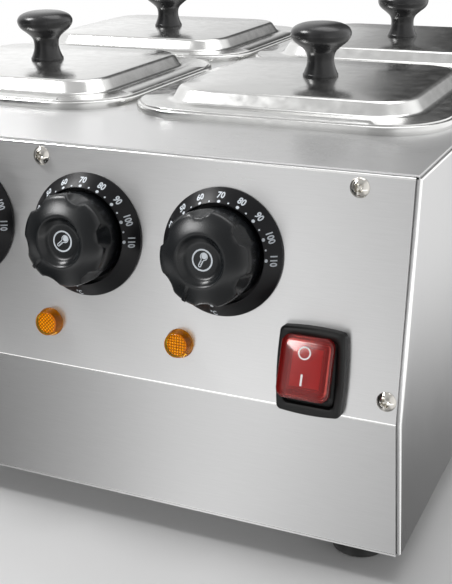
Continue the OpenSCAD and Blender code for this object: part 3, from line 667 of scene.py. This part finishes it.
# %% [markdown]
# ## The knobs
#
# A knob starts as a turned shape: a dished middle, a raised lip, a dome and a straight side. Six finger
# pockets are pressed into the side, widest at the front and running out halfway down. For every point the
# pocket gives a largest radius by angle and height, and the smaller of the two radii wins. A soft minimum
# blends them, which rounds the pocket's edge as a mould would.

# %% Shape of a knob
knob_r = 22.0
pocket_low, pocket_high = 13.6, 23.2
pocket_depth = 3.3
pocket_half = 15.5
knob_outside = [(0.0, 21.8), (4.0, 21.8), (7.2, 21.8), (8.2, 21.88), (9.1, 22.2), (9.9, 22.8), (10.6, 23.55),
                (11.15, 24.3), (11.5, 24.75), (11.75, 24.94), (12.1, 25.0), (12.6, 24.97), (13.2, 24.87),
                (15.0, 24.35), (17.0, 23.66), (18.6, 23.0), (19.8, 22.42), (20.6, 21.95), (21.2, 21.4),
                (21.6, 20.8), (21.85, 20.1), (21.95, 19.3), (22.0, 18.3), (21.98, 17.0)]
draft = 0.0545
knob_outside += [(knob_r - draft * (17.0 - z), z)
                 for z in (16, 15, 14.4, 14, 13.6, 13.2, 12.6, 12, 10, 8, 6, 4)]
knob_outside += [(21.35, 2.6), (21.1, 2.2)]
knob_inside = [(17.6, 2.2), (17.6, 12.5), (6.2, 12.5), (6.2, 5.0), (3.1, 5.0)]

def soft_min(a, b, width):
    h = max(width - abs(a - b), 0.0) / width
    return min(a, b) - h * h * width * 0.25

def pocket_limit(angle, z):
    """Largest radius that the finger pockets leave, at an angle from the pointer."""
    off = (angle - 30.0 + 30.0) % 60.0 - 30.0
    across_it = min(abs(off) / pocket_half, 1.0)
    down = max(0.0, min(1.0, (z - pocket_low) / (pocket_high - pocket_low)))
    depth = pocket_depth * (down ** 0.8) * (1.0 - across_it ** 3)
    return knob_r + 0.25 - depth if across_it < 1.0 and down > 0 else 99.0

print("knob outline:", len(knob_outside), "points outside,", len(knob_inside), "inside")

# %% [markdown]
# The knob's body is a round grid of points, and the pocket's limit is applied to each of them.

# %% Press the pockets
pocket_edge = 0.35
angles = [k * 1.5 for k in range(240)]

def knob_point(r, z, angle):
    limit = pocket_limit(angle, z)
    if limit < 50 and r > 14:
        r = soft_min(r, limit, pocket_edge)
    return clock(r, angle, z)

knob_rows = [[knob_point(r, z, a) for a in angles] for r, z in knob_outside if r > 0]
knob_rows += [[clock(r, a, z) for a in angles] for r, z in knob_inside]
knob_mesh = skin(knob_rows, cap_first=True)
print("a knob has", len(knob_mesh[0]), "points")

# %% [markdown]
# The pointer is a narrow raised bar from the lip of the dish to the side. It stands out more and more as the
# dome falls away under it, so its side shows as a dark wedge.

# %% Raise the pointer
pointer_w = 1.7
pointer_line = rounded_corners([(12.1, 23.0), (12.1, 25.04), (13.2, 25.02), (17.0, 24.2), (20.0, 23.1),
                                (21.4, 22.3), (22.1, 21.0), (22.1, 18.0), (21.0, 17.0)],
                               [0.1, 0.0, 0.0, 0.0, 0.6, 0.5, 0.3, 0.0], 4)

pointer_edge = 0.12
pointer_rows = []
for side, inset in ((-1, pointer_edge), (-1, 0.0), (1, 0.0), (1, pointer_edge)):
    x = side * (pointer_w / 2 - pointer_edge + inset)
    pointer_rows.append([(x, r - inset * (r > 21), z - inset * (r <= 21.6)) for r, z in pointer_line])
pointer_mesh = skin(pointer_rows, cap_first=True, cap_last=True)

on_knobs = [place @ Matrix.Rotation(radians(-angle), 4, "Z")
            for place, angle in zip(on_dials, pointer_angles)]
for i, place in enumerate(on_knobs, 1):
    add_piece(f"knob_{i}_moulded", [knob_mesh, pointer_mesh], place, knob_black, f"dial_{i}",
              [f"knob_{i}"], crisp=34.0)

# %% [markdown]
# ## The sign on the knobs
#
# A plain thermometer in a circle is printed in the dish. It is drawn here as flat shapes: a ring, an outlined
# stem that points the same way as the pointer, a filled bulb and three short lines for the scale.

# %% Draw the thermometer sign
sign_z = 21.83

def arc_band(centre, radius, width, start, end, steps=48):
    return skin([[tuple(c + p for c, p in zip((*centre, sign_z), clock(r, start + (end - start) * k / steps)))
                  for k in range(steps + 1)] for r in (radius - width / 2, radius + width / 2)], close=False)

def bar(x0, y0, x1, y1, width):
    d = (Vector((x1, y1)) - Vector((x0, y0))).normalized() * width / 2
    n = (-d.y, d.x)
    return [(x0 + n[0], y0 + n[1], sign_z), (x1 + n[0], y1 + n[1], sign_z),
            (x1 - n[0], y1 - n[1], sign_z), (x0 - n[0], y0 - n[1], sign_z)], [(0, 1, 2, 3)]

def filled(centre, radius, steps=32):
    points = [clock(radius, 360 * k / steps) for k in range(steps)]
    return [(centre[0] + x, centre[1] + y, sign_z) for x, y, _ in points], [tuple(range(steps))]

stem_half, stem_top, bulb_y, bulb_r, line_w = 0.56, 2.8, -1.8, 1.65, 0.42
opening = degrees(asin(stem_half / bulb_r))
sign = [arc_band((0, 0), 4.7, 0.74, 0, 360, 72),
        arc_band((0, bulb_y), bulb_r, line_w, opening, 360 - opening, 40), filled((0, bulb_y - 0.2), 1.3),
        bar(-stem_half, bulb_y + bulb_r, -stem_half, stem_top, line_w),
        bar(stem_half, bulb_y + bulb_r, stem_half, stem_top, line_w),
        arc_band((0, stem_top), stem_half, line_w, -90, 90, 18)]
for step_y in (0.7, 1.5, 2.3):
    sign.append(bar(-stem_half, step_y, 0.1, step_y, 0.26))
for i, place in enumerate(on_knobs, 1):
    add_piece(f"knob_sign_{i}", sign, place, mark_white, f"dial_{i}")

# %% [markdown]
# ## The amber lamps
#
# A lamp's lens is a clear amber cup, a little narrower in front. In it stands a plug whose front is pressed
# into rows of little prisms, which is why a lamp that is off still looks like a grid of bright dots. The
# prisms are real shapes here: a fine round grid of points, raised and lowered by the pattern.

# %% Press the lamps' prisms
lamp_left, lamp_down = 20.2, 46.7
prism_pitch = 1.34
plug_r, plug_z = 5.25, 3.3

def prism_height(x, y):
    u = abs((x / prism_pitch) % 1.0 - 0.5) * 2
    v = abs((y / prism_pitch) % 1.0 - 0.5) * 2
    return 0.36 * (1 - u ** 1.6) * (1 - v ** 1.6)

def plug_mesh(steps=180):
    rows = [ring_of(plug_r - 0.05, 0.3, steps), ring_of(plug_r, plug_z - 0.3, steps)]
    for s in range(40, 0, -1):
        r = (plug_r - 0.1) * s / 40
        fade = min(1.0, (plug_r - 0.1 - r) / 0.3)
        rows.append([(x, y, plug_z + prism_height(x, y) * fade) for x, y, _ in ring_of(r, 0, steps)])
    return skin(rows, cap_last=True)

def cup_mesh(steps=96):
    outside = soften([(0.01, 5.0), (3.5, 4.99), (5.4, 4.95), (6.0, 4.6), (6.15, 4.2), (6.8, 1.1), (6.95, 0.95),
                      (7.1, 0.7), (7.1, 0.0)], 2)
    return skin(turned(outside, steps), cap_first=True)

print("prisms every", prism_pitch, "mm on a plug of", 2 * plug_r, "mm")

# %% [markdown]
# The colour of the grid comes from the same pattern: bright yellow amber on each prism, a painted highlight, and
# dark amber in the grooves, painted shade. A faint glow in the same pattern is painted too, though the lamp is
# off. The pattern is read in object space, so each plug is an object of its own with its own turn.

# %% Finish of the prisms, with painted light and shade
def prism_finish():
    f = Finish("lamp_prisms_amber", (0.80, 0.36, 0.03), 0.18)
    cells = f.add("Mapping", {"Vector": f.where, "Scale": (1 / (prism_pitch * MM),) * 3})
    parts = f.add("SeparateXYZ", {0: cells.outputs[0]})
    prism_light_shade_mask = f.calc("MULTIPLY", *(f.spread(f.calc("PINGPONG", parts.outputs[axis], 0.5), 0.0, 1.0, 0.06, 0.30)
                                for axis in ("X", "Y")))
    # Bright on the prism tops and dark in the grooves: painted highlight and painted shade.
    f.set("Base Color", f.blend_colours(prism_light_shade_mask, (0.30, 0.070, 0.001), (1.0, 0.40, 0.008)))
    # The emission is a painted glow: the lamp is off.
    f.set("Emission Color", f.blend_colours(prism_light_shade_mask, (0.10, 0.02, 0.0), (1.0, 0.40, 0.005)))
    f.set("Emission Strength", 0.25)
    f.set("Coat Weight", 0.15)
    f.set("Coat Roughness", 0.06)
    f.bump(f.noise(900.0), 0.00001)
    return f.material

lamp_prisms_painted_light = prism_finish()
lamp_turns = [12.0, 70.0, 45.0, 0.0]
plug_shape, cup_shape = plug_mesh(), cup_mesh()
for i in range(4):
    place = on_face(knob_x[i] - lamp_left, knob_drop + lamp_down)
    turned_place = place @ Matrix.Rotation(radians(lamp_turns[i]), 4, "Z")
    plug = add_piece(f"lamp_plug_{i + 1}", [plug_shape], upright, lamp_prisms_painted_light, "casing", crisp=60.0)
    plug.matrix_world = Matrix.Translation(place.translation) @ turned_place.to_3x3().normalized().to_4x4()
    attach(plug, "casing")
    # The plug's sides below the prisms take the painted shade.
    refinish(plug, lamp_painted_shade, lambda n, c: c.z < (plug_z - 0.1) * MM)
    cup = add_piece(f"lamp_lens_{i + 1}", [cup_shape], place, lamp_ring, "casing", ["lamp_lenses"],
                    crisp=50.0)
    refinish(cup, lamp_front, lambda n, c: n.dot(out) > 0.97)

# %% [markdown]
# ## Screws
#
# The front and the rear are held by domed screws with a cross recess. The head is a round grid of points on a
# dome. The recess is a second height, deeper near the two crossing slots and with sloping walls, and the
# lower of the two heights wins.

# %% Shape of a screw head
head_r, head_h = 4.5, 2.6
dome_r = 5.2

def recess_height(x, y):
    depth = 99.0
    for u, v in ((x, y), (y, x)):
        wall = max(abs(v) - 0.42, 0.0) * 4.0
        end = max(abs(u) - 1.55, 0.0) * 1.9
        depth = min(depth, wall + end)
    return head_h - 1.9 + depth

def screw_mesh(turn, shank=8.0, steps=120, rings=46):
    rows = []
    for s in range(rings + 1):
        r = max(0.01, (head_r - 0.15) * s / rings)
        dome = head_h - dome_r + sqrt(dome_r ** 2 - r ** 2)
        rows.append([(x, y, soft_min(z, recess_height(x, y), 0.18) if r < 3.4 else z)
                     for x, y, z in ring_of(r, dome, steps)])
    edge_z = rows[-1][0][2]
    rows += turned([(head_r - 0.04, edge_z - 0.12), (head_r, edge_z - 0.35), (head_r, 0.12), (head_r - 0.1, 0.0),
                    (2.0, 0.0), (2.0, -shank)], steps)
    verts, faces = skin(rows, cap_first=True, cap_last=True)
    c, s = cos(radians(turn)), sin(radians(turn))
    return [(x * c - y * s, x * s + y * c, z) for x, y, z in verts], faces

def placed(mesh, matrix):
    return [tuple(matrix @ Vector(p)) for p in mesh[0]], mesh[1]

front_screws = [(-161.0, 6.2, 20.0), (0.0, 6.2, 12.0), (161.0, 6.2, 40.0), (-180.0, 99.6, 65.0),
                (180.0, 99.6, 28.0)]
heads = [placed(screw_mesh(turn), on_face(x, drop)) for x, drop, turn in front_screws]
add_piece("panel_screws_domed", heads, Matrix.Identity(4), screw_steel, "casing",
          ["panel_screws"], crisp=38.0)
rear_face = [place_matrix(Vector((-1, 0, 0)), Vector((0, 0, 1)), Vector((0, 1, 0)), Vector((x, rear_y, z)))
             for x in (-181.0, 181.0) for z in (skin_low + 25, (skin_low + skin_top) / 2, skin_top - 25)]
add_piece("rear_screws_domed", [placed(screw_mesh(17.0 * k), m) for k, m in enumerate(rear_face)],
          Matrix.Identity(4), screw_steel, "casing", ["rear_screws"], crisp=38.0)

# %% [markdown]
# ## The mains switch
#
# The switch is a rocker under a soft clear red boot, in a black frame. All of these are outlines with round
# corners, drawn out along the panel's direction. The frame's sides bulge a little between the corners.

# %% An outline with round corners
def outline(w, d, r, z=0.0, bulge=0.0, corner=8, run=8):
    points = []
    for quarter, (cx, cy) in enumerate(((1, 1), (-1, 1), (-1, -1), (1, -1))):
        for k in range(corner + 1):
            a = radians(90 * quarter + 90 * k / corner)
            points.append((cx * (w / 2 - r) + r * cos(a), cy * (d / 2 - r) + r * sin(a)))
        x, y = points[-1]
        for t in (k / run for k in range(1, run)):
            points.append((x, y - 2 * y * t) if quarter % 2 else (x - 2 * x * t, y))
    return [(x + bulge * (1 - (2 * y / d) ** 2) * 2 * x / w,
             y + bulge * (1 - (2 * x / w) ** 2) * 2 * y / d, z) for x, y in points]

def drawn_out(steps, **more):
    """Rows from (width, depth, corner radius, height), with the bulge as a fifth value where there is one."""
    return [outline(*step, **more) for step in steps]

switch_x, switch_drop = 145.2, 90.5
on_switch = on_face(switch_x, switch_drop)
frame_steps = [(30.2, 39.0, 1.8, 0.0, 1.0), (30.2, 39.0, 1.8, 3.9, 1.0), (30.0, 38.8, 1.9, 4.6, 1.0),
               (29.3, 38.1, 2.0, 5.2, 1.0), (28.4, 37.2, 2.2, 5.5, 0.9), (25.9, 33.2, 2.8, 5.5, 0.2),
               (24.9, 32.0, 3.0, 5.2), (24.4, 31.4, 3.0, 4.6), (24.4, 31.4, 3.0, 2.05), (25.9, 32.0, 0.8, 2.0),
               (25.9, 32.0, 0.8, 0.0), (30.2, 39.0, 1.8, 0.0, 1.0)]
add_piece("switch_frame_moulded", [skin(drawn_out(frame_steps))], on_switch, rubber_black, "casing",
          ["switch_frame"], crisp=35.0)

# %% [markdown]
# The rocker, the boot's clear cap and the marks belong to the moving body. They are modelled level with the
# pivot and then tipped by the same angle as the CAD pieces, so the switch stands at off.

# %% The rocker and its clear cap
rocker_tilt, rocker_pivot = 12.5, -5.5
on_rocker = on_switch @ Matrix.Translation((0, 0, rocker_pivot)) @ Matrix.Rotation(
    radians(-rocker_tilt), 4, "X")
rocker_steps = [(17.0, 20.6, 0.6, -5.0), (17.0, 20.6, 0.6, 15.6), (16.6, 20.2, 0.8, 16.1), (16.0, 19.6, 0.8, 16.3),
                (14.4, 18.0, 0.6, 16.3), (14.1, 17.7, 0.6, 15.8), (13.9, 17.5, 0.6, 16.25), (9.0, 12.0, 0.5, 16.3)]
rocker = add_piece("switch_rocker_red", [skin(drawn_out(rocker_steps), cap_first=True, cap_last=True)], on_rocker,
                   rocker_red, "rocker", ["switch_rocker"], crisp=30.0)
from_rocker = on_rocker.inverted()

def beyond_face(n, c):
    p = from_rocker @ c
    return max(abs(p.x) / 7.1, abs(p.y) / 8.9) > 1.0

# The rocker's rim outside its face is painted dark, as the shade in the gap under the cap.
refinish(rocker, rocker_painted_shade, beyond_face)

cap_steps = [(21.6, 25.8, 3.4, 15.0), (23.4, 27.6, 4.0, 15.0), (24.2, 28.4, 4.2, 15.3), (24.4, 28.6, 4.3, 16.2),
             (24.4, 28.6, 4.3, 17.8), (24.1, 28.3, 4.3, 18.7), (23.5, 27.7, 4.1, 19.25), (22.6, 26.8, 3.8, 19.45),
             (18.0, 22.0, 3.0, 19.62), (12.0, 14.5, 2.5, 19.74), (5.0, 6.0, 1.5, 19.79)]
cap_inside = [(21.6, 25.8, 3.4, 15.0), (21.4, 25.6, 3.3, 17.0), (20.6, 24.8, 3.0, 17.9), (12.0, 14.5, 2.0, 18.2)]
add_piece("switch_cap_clear", [skin(drawn_out(cap_steps), cap_last=True),
                               skin(drawn_out(cap_inside), cap_last=True)], on_rocker, boot_red, "rocker",
          ["switch_cap"], crisp=50.0)

# %% [markdown]
# The two marks are plain: a ring for off at the top, and a bar for on below it. They are printed on the clear
# cap, and tip with it.

# %% The off and on marks
mark_lift = 19.82 - sign_z
switch_marks = [placed(arc_band((0, 0), 2.65, 0.7, 0, 360), Matrix.Translation((-0.35, 6.7, mark_lift))),
                placed(bar(0, -2.6, 0, 2.6, 0.95), Matrix.Translation((-0.3, -5.3, mark_lift)))]
add_piece("switch_marks", switch_marks, on_rocker, switch_white, "rocker")

# %% [markdown]
# Between the cap and the frame lies a soft black fold of the boot. Its outer edge starts at the frame's window
# and its inner edge meets the cap's underside as the switch stands at off. It is one skin that rides on no
# body, so it stays in place when the rocker moves.

# %% The boot's soft fold
to_switch = on_switch.inverted() @ on_rocker
fold_low, cap_under = 3.2, 14.98

def ring_between(t):
    """Outline of the fold from the frame's window, at 0, to the underside of the cap, at 1."""
    low = outline(24.3, 31.3, 3.0)
    high = [to_switch @ Vector((x, y, cap_under)) for x, y, _ in outline(22.6, 26.8, 3.8)]
    wave = 2.7 * sin(pi * 2.2 * t) * (1 - t) * t
    points = []
    for a, b in zip(low, high):
        x = a[0] + (b.x - a[0]) * t
        y = a[1] + (b.y - a[1]) * t
        z = fold_low + (b.z - fold_low) * t ** 1.3
        length = hypot(x, y) or 1.0
        points.append((x + x / length * wave, y + y / length * wave, z))
    return points

fold_rows = [ring_between(k / 14) for k in range(15)]
thin = [[(x * 0.965, y * 0.972, z - 0.15) for x, y, z in row] for row in reversed(fold_rows)]
fold = add_piece("switch_boot_fold", [skin(fold_rows + thin + [fold_rows[0]])], on_switch, rubber_black, None,
                 ["switch_skirt"], crisp=60.0)
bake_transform(fold)

# %% [markdown]
# ## The pans
#
# A pan is deep drawn, so nothing on it is sharp: the rim turns down at its edge, rolls into the wall, and the
# wall rolls into the floor. It is a stack of outlines over the rim, down the inside, across the floor and
# back up the outside.

# %% Draw the pans
rim_top, bowl_w, bowl_d = 207.0, 156.0, 142.0
pan_inside = [(20.0, 36.0, 203.0), (20.0, 36.0, 205.6), (19.5, 35.8, 206.5), (18.4, 35.3, rim_top),
              (5.0, 30.0, rim_top), (1.6, 28.6, 206.5), (-1.0, 27.6, 204.8), (-1.8, 27.2, 202.0),
              (-6.0, 26.4, 160.0), (-9.2, 26.0, 125.0), (-10.2, 25.4, 118.0), (-12.2, 24.2, 112.8),
              (-16.2, 22.0, 109.6), (-22.1, 19.0, 108.1), (-29.6, 15.0, 107.8), (-91.6, 10.0, 107.8)]
pan_outside = [(-90.0, 10.0, 107.0), (-28.0, 15.8, 107.0), (-20.0, 19.8, 107.3), (-13.8, 22.8, 108.9),
               (-9.6, 25.0, 112.4), (-7.6, 26.2, 118.0), (-6.6, 26.8, 125.0), (-3.6, 27.2, 160.0),
               (-0.6, 28.0, 202.0), (0.4, 28.4, 204.6), (3.4, 29.6, 206.2), (16.8, 34.5, 206.2),
               (18.4, 35.2, 205.6), (18.4, 35.2, 203.0)]

def pressed(w, d, steps):
    """Outlines that are each larger than w by d by a number of mm, with their corner radius and height."""
    return [outline(w + more, d + more, r, z, corner=12, run=6) for more, r, z in steps]

pan_places = []
for i in range(1, 5):
    low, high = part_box(f"pan_{i}")
    middle = ((low.x + high.x) / 2 / MM, (low.y + high.y) / 2 / MM, 0.0)
    pan_places.append(upright @ Matrix.Translation(middle))
inside, outside = pressed(bowl_w, bowl_d, pan_inside), pressed(bowl_w, bowl_d, pan_outside)
shell = [skin(inside, cap_last=True), skin(outside, cap_first=True), skin([inside[0], outside[-1]])]
for i, place in enumerate(pan_places, 1):
    add_piece(f"pan_{i}_drawn", shell, place, pressed_steel, f"pan_{i}_lift", [f"pan_{i}"],
              crisp=50.0)

# %% [markdown]
# ## The lids
#
# Each lid is pressed from one sheet: a flat rim that lies on the pan, a short lip that drops inside it, and a
# raised middle with sloping sides. Its black knob is turned, with a waist for two fingers.

# %% Press the lids and turn their knobs
lid_rise, h = 8.0, 30.0
lid_top = [(172.0, 158.0, 34.0, 207.05), (172.0, 158.0, 34.0, 207.5), (171.4, 157.4, 33.7, 207.8),
           (147.0, 133.0, 26.0, 207.8), (142.0, 128.0, 24.0, 207.9), (139.4, 125.4, 22.5, 208.8),
           (133.4, 119.4, 20.5, 213.6), (131.0, 117.0, 19.5, 214.6), (127.4, 113.4, 18.0, 215.0),
           (40.0, 36.0, 8.0, 215.4)]
lid_under = [(40.0, 36.0, 8.0, 214.6), (126.8, 112.8, 17.6, 214.2), (129.6, 115.6, 18.6, 213.7),
             (131.6, 117.6, 19.4, 212.8), (137.6, 123.6, 21.4, 208.2), (141.0, 127.0, 23.4, 207.05),
             (148.4, 134.4, 26.0, 207.05), (148.4, 134.4, 26.0, 203.6), (150.0, 136.0, 26.8, 203.6),
             (150.0, 136.0, 26.8, 207.05), (172.0, 158.0, 34.0, 207.05)]
lid_shell = [skin(drawn_out(lid_top, corner=12, run=6), cap_last=True),
             skin(drawn_out(lid_under, corner=12, run=6), cap_first=True)]
lid_knob_profile = soften([(0.01, h), (6.0, h * 0.997), (11.0, h * 0.975), (15.0, h * 0.92), (16.9, h * 0.84),
                           (17.0, h * 0.76), (15.6, h * 0.66), (11.5, h * 0.56), (8.2, h * 0.46),
                           (7.4, h * 0.34), (7.9, h * 0.2), (9.6, 1.9)], 2)
lid_knob_profile += [(10.0, 1.5), (10.0, 0.2), (9.8, 0.0), (2.2, 0.0), (2.2, -3.6)]
lid_knob = skin(turned(lid_knob_profile, 72), cap_first=True, cap_last=True)
for i, place in enumerate(pan_places, 1):
    body = f"lid_{i}_lift"
    add_piece(f"lid_{i}_pressed", lid_shell, place, pressed_steel, body, [f"lid_{i}"], crisp=45.0)
    add_piece(f"lid_knob_{i}_turned", [lid_knob], place @ Matrix.Translation((0, 0, rim_top + lid_rise)),
              lid_knob_black, body, [f"lid_knob_{i}"], crisp=50.0)

# %% [markdown]
# ## Floor, light and background
#
# The machine stands on a plain pale floor, which keeps its shadow and fades out further away. To the camera
# the background is white, and so it is to glass. Brushed steel looks like whatever stands around it: in
# reflections the floor gives way to the room's walls, pale with soft grey stretches between them. Each wall
# arches over the machine from front to rear, so the control face and the lower face see the same walls.

# %% The floor
reach = 6.0
floor_near, floor_far = 0.35, 1.1
corners = [(-reach, -reach, 0), (reach, -reach, 0), (reach, reach, 0), (-reach, reach, 0)]
floor_data = bpy.data.meshes.new("floor")
floor_data.from_pydata(corners, [], [(0, 1, 2, 3)])
floor = new_object("floor", floor_data)
pale = Finish("floor_pale", (0.82, 0.82, 0.82), 0.7)
pale.set("Base Color", pale.blend_colours(pale.noise(3.0, 3.0), (0.80, 0.80, 0.80), (0.84, 0.84, 0.84)))
sight = pale.add("LightPath").outputs
distance = pale.add("VectorMath", {0: pale.where}, operation="LENGTH").outputs["Value"]
fading = pale.spread(distance, 0.0, 1.0, floor_near, floor_far, interpolation_type="SMOOTHSTEP")
unseen = pale.calc("MULTIPLY_ADD", fading, sight["Is Camera Ray"], sight["Is Glossy Ray"])
pale.surface(pale.mixed(unseen, pale.shader.outputs[0], pale.add("BsdfTransparent").outputs[0]))
floor_data.materials.append(pale.material)
print("floor is", 2 * reach, "m wide, and fades from", floor_near, "to", floor_far, "m")

# %% [markdown]
# The walls are a ramp of greys, listed by bearing, in degrees from the machine's right round to its rear.

# %% The room's walls
walls = [(-180, 0.35), (-140, 0.05), (-126, 0.06), (-119, 0.40), (-112, 1.32), (-106, 0.80), (-98, 0.50),
         (-75, 0.45), (-50, 1.10), (0, 1.30), (62, 1.45), (84, 0.20), (102, 0.05), (111, 0.85), (124, 1.25),
         (150, 1.15), (180, 0.35)]
world = bpy.data.worlds.new("studio")
scene.world = world
world.use_nodes = True
room = Nodes(world.node_tree)

def product(a, b):
    return room.calc("MULTIPLY", a, b)

def rest_of(a):
    return room.calc("SUBTRACT", 1.0, a)

x, y, height = room.add("SeparateXYZ", {0: room.add("TexCoord").outputs["Generated"]}).outputs
depth = room.calc("SQRT", rest_of(product(x, x)))
level = room.add("CombineXYZ", {0: x, 1: product(depth, room.calc("SIGN", y))})
bearing = room.add("TexGradient", {"Vector": level.outputs[0]}, gradient_type="RADIAL")
ramp = room.add("ValToRGB", {"Fac": bearing.outputs["Fac"]})
ramp.color_ramp.interpolation = "EASE"
stops = ramp.color_ramp.elements
while len(stops) < len(walls):
    stops.new(0.5)
brightest = max(value for _, value in walls)
for stop, (place, value) in zip(stops, walls):
    stop.position = place / 360.0 + 0.5
    stop.color = (*(value / brightest,) * 3, 1.0)
wall = product(ramp.outputs["Color"], brightest)
print("walls:", len(stops), "stops, the brightest", brightest)

# %% [markdown]
# Three more things belong to the room. Overhead it is pale all round. Behind the machine the floor lies in
# shadow, so low reflections towards the rear darken. A low strip of light in front draws the bright line
# along the crease.

# %% Overhead, the rear floor and the low strip
def rising(source, low, high):
    return room.spread(source, 0.0, 1.0, low, high, interpolation_type="SMOOTHSTEP")

def falling(source, low, high):
    return room.spread(source, 1.0, 0.0, low, high, interpolation_type="SMOOTHSTEP")

pale_ceiling, rear_shadow, strip_light = 0.7, 0.85, 1.3
overhead = rising(height, 0.60, 0.95)
wall = room.calc("ADD", product(wall, rest_of(overhead)),
                 product(overhead, pale_ceiling))
shadow = product(rising(y, -0.1, 0.3), falling(height, -0.52, -0.29))
wall = product(wall, rest_of(product(shadow, rear_shadow)))
strip = product(rising(height, -0.42, -0.35), falling(height, -0.25, -0.18))
strip = product(strip, falling(y, -0.5, -0.1))
wall = room.calc("ADD", wall, product(strip, strip_light))
print("the room has", len(room.tree.nodes), "nodes")

# %% [markdown]
# Light Path says what looks at the world: the camera and clear surfaces see white, glossy ones see the walls,
# and the soft light that falls on everything is a plain grey.

# %% What each kind of ray sees
looks = room.add("LightPath").outputs
plain_light, white = 0.36, 1.0
seen_white = room.calc("MAXIMUM", looks["Is Camera Ray"], looks["Is Transmission Ray"])
glossy = product(looks["Is Glossy Ray"], rest_of(seen_white))
rest = rest_of(room.calc("MAXIMUM", seen_white, looks["Is Glossy Ray"]))
strength = room.calc("ADD", product(seen_white, white), product(glossy, wall))
strength = room.calc("ADD", strength, product(rest, plain_light))
background = room.tree.nodes["Background"]
room.feed(background.inputs["Strength"], strength)
room.feed(background.inputs["Color"], (1.0, 1.0, 1.0))
print("background for the camera:", white, "for soft light:", plain_light)

# %% [markdown]
# Four soft lamps light the machine: one from the left, a weak one overhead, and two small ones for the
# controls. The glint draws the highlights on the knobs, dials, lamps and screws, and the haze lies on the
# switch. Each of these two is linked to its own pieces, so that it doesn't wash out the brushed steel.

# %% The lamps
def soft_lamp(name, place, target, size, power):
    data = bpy.data.lights.new(name, "AREA")
    data.shape = "RECTANGLE"
    data.size, data.size_y = size
    data.energy = power
    lamp = new_object(name, data)
    lamp.matrix_world = looking(Vector(place), Vector(target))
    return lamp

def light_only(lamp, *words):
    """Lets a lamp light only the pieces whose names start with these words."""
    group = bpy.data.collections.new(lamp.name)
    for piece in bpy.data.objects:
        if piece.type == "MESH" and piece.name.split("_")[0] in words:
            group.objects.link(piece)
    lamp.light_linking.receiver_collection = group

soft_lamp("key", (-1.25, -0.5, 1.75), (0.05, -0.15, 0.1), (0.6, 0.6), 26.0)
glint = soft_lamp("glint", (-1.14, -1.64, 1.10), (0.12, -0.2, 0.12), (0.66, 0.52), 21.0)
haze = soft_lamp("haze", (-0.51, -1.65, 0.74), (0.145, -0.21, 0.10), (0.27, 0.27), 5.0)
light_only(glint, "knob", "dial", "lamp", "panel")
light_only(haze, "switch")
soft_lamp("top", (0.2, 0.5, 1.8), (0.0, 0.0, 0.15), (1.4, 1.0), 10.0)
scene.view_settings.view_transform = "Standard"
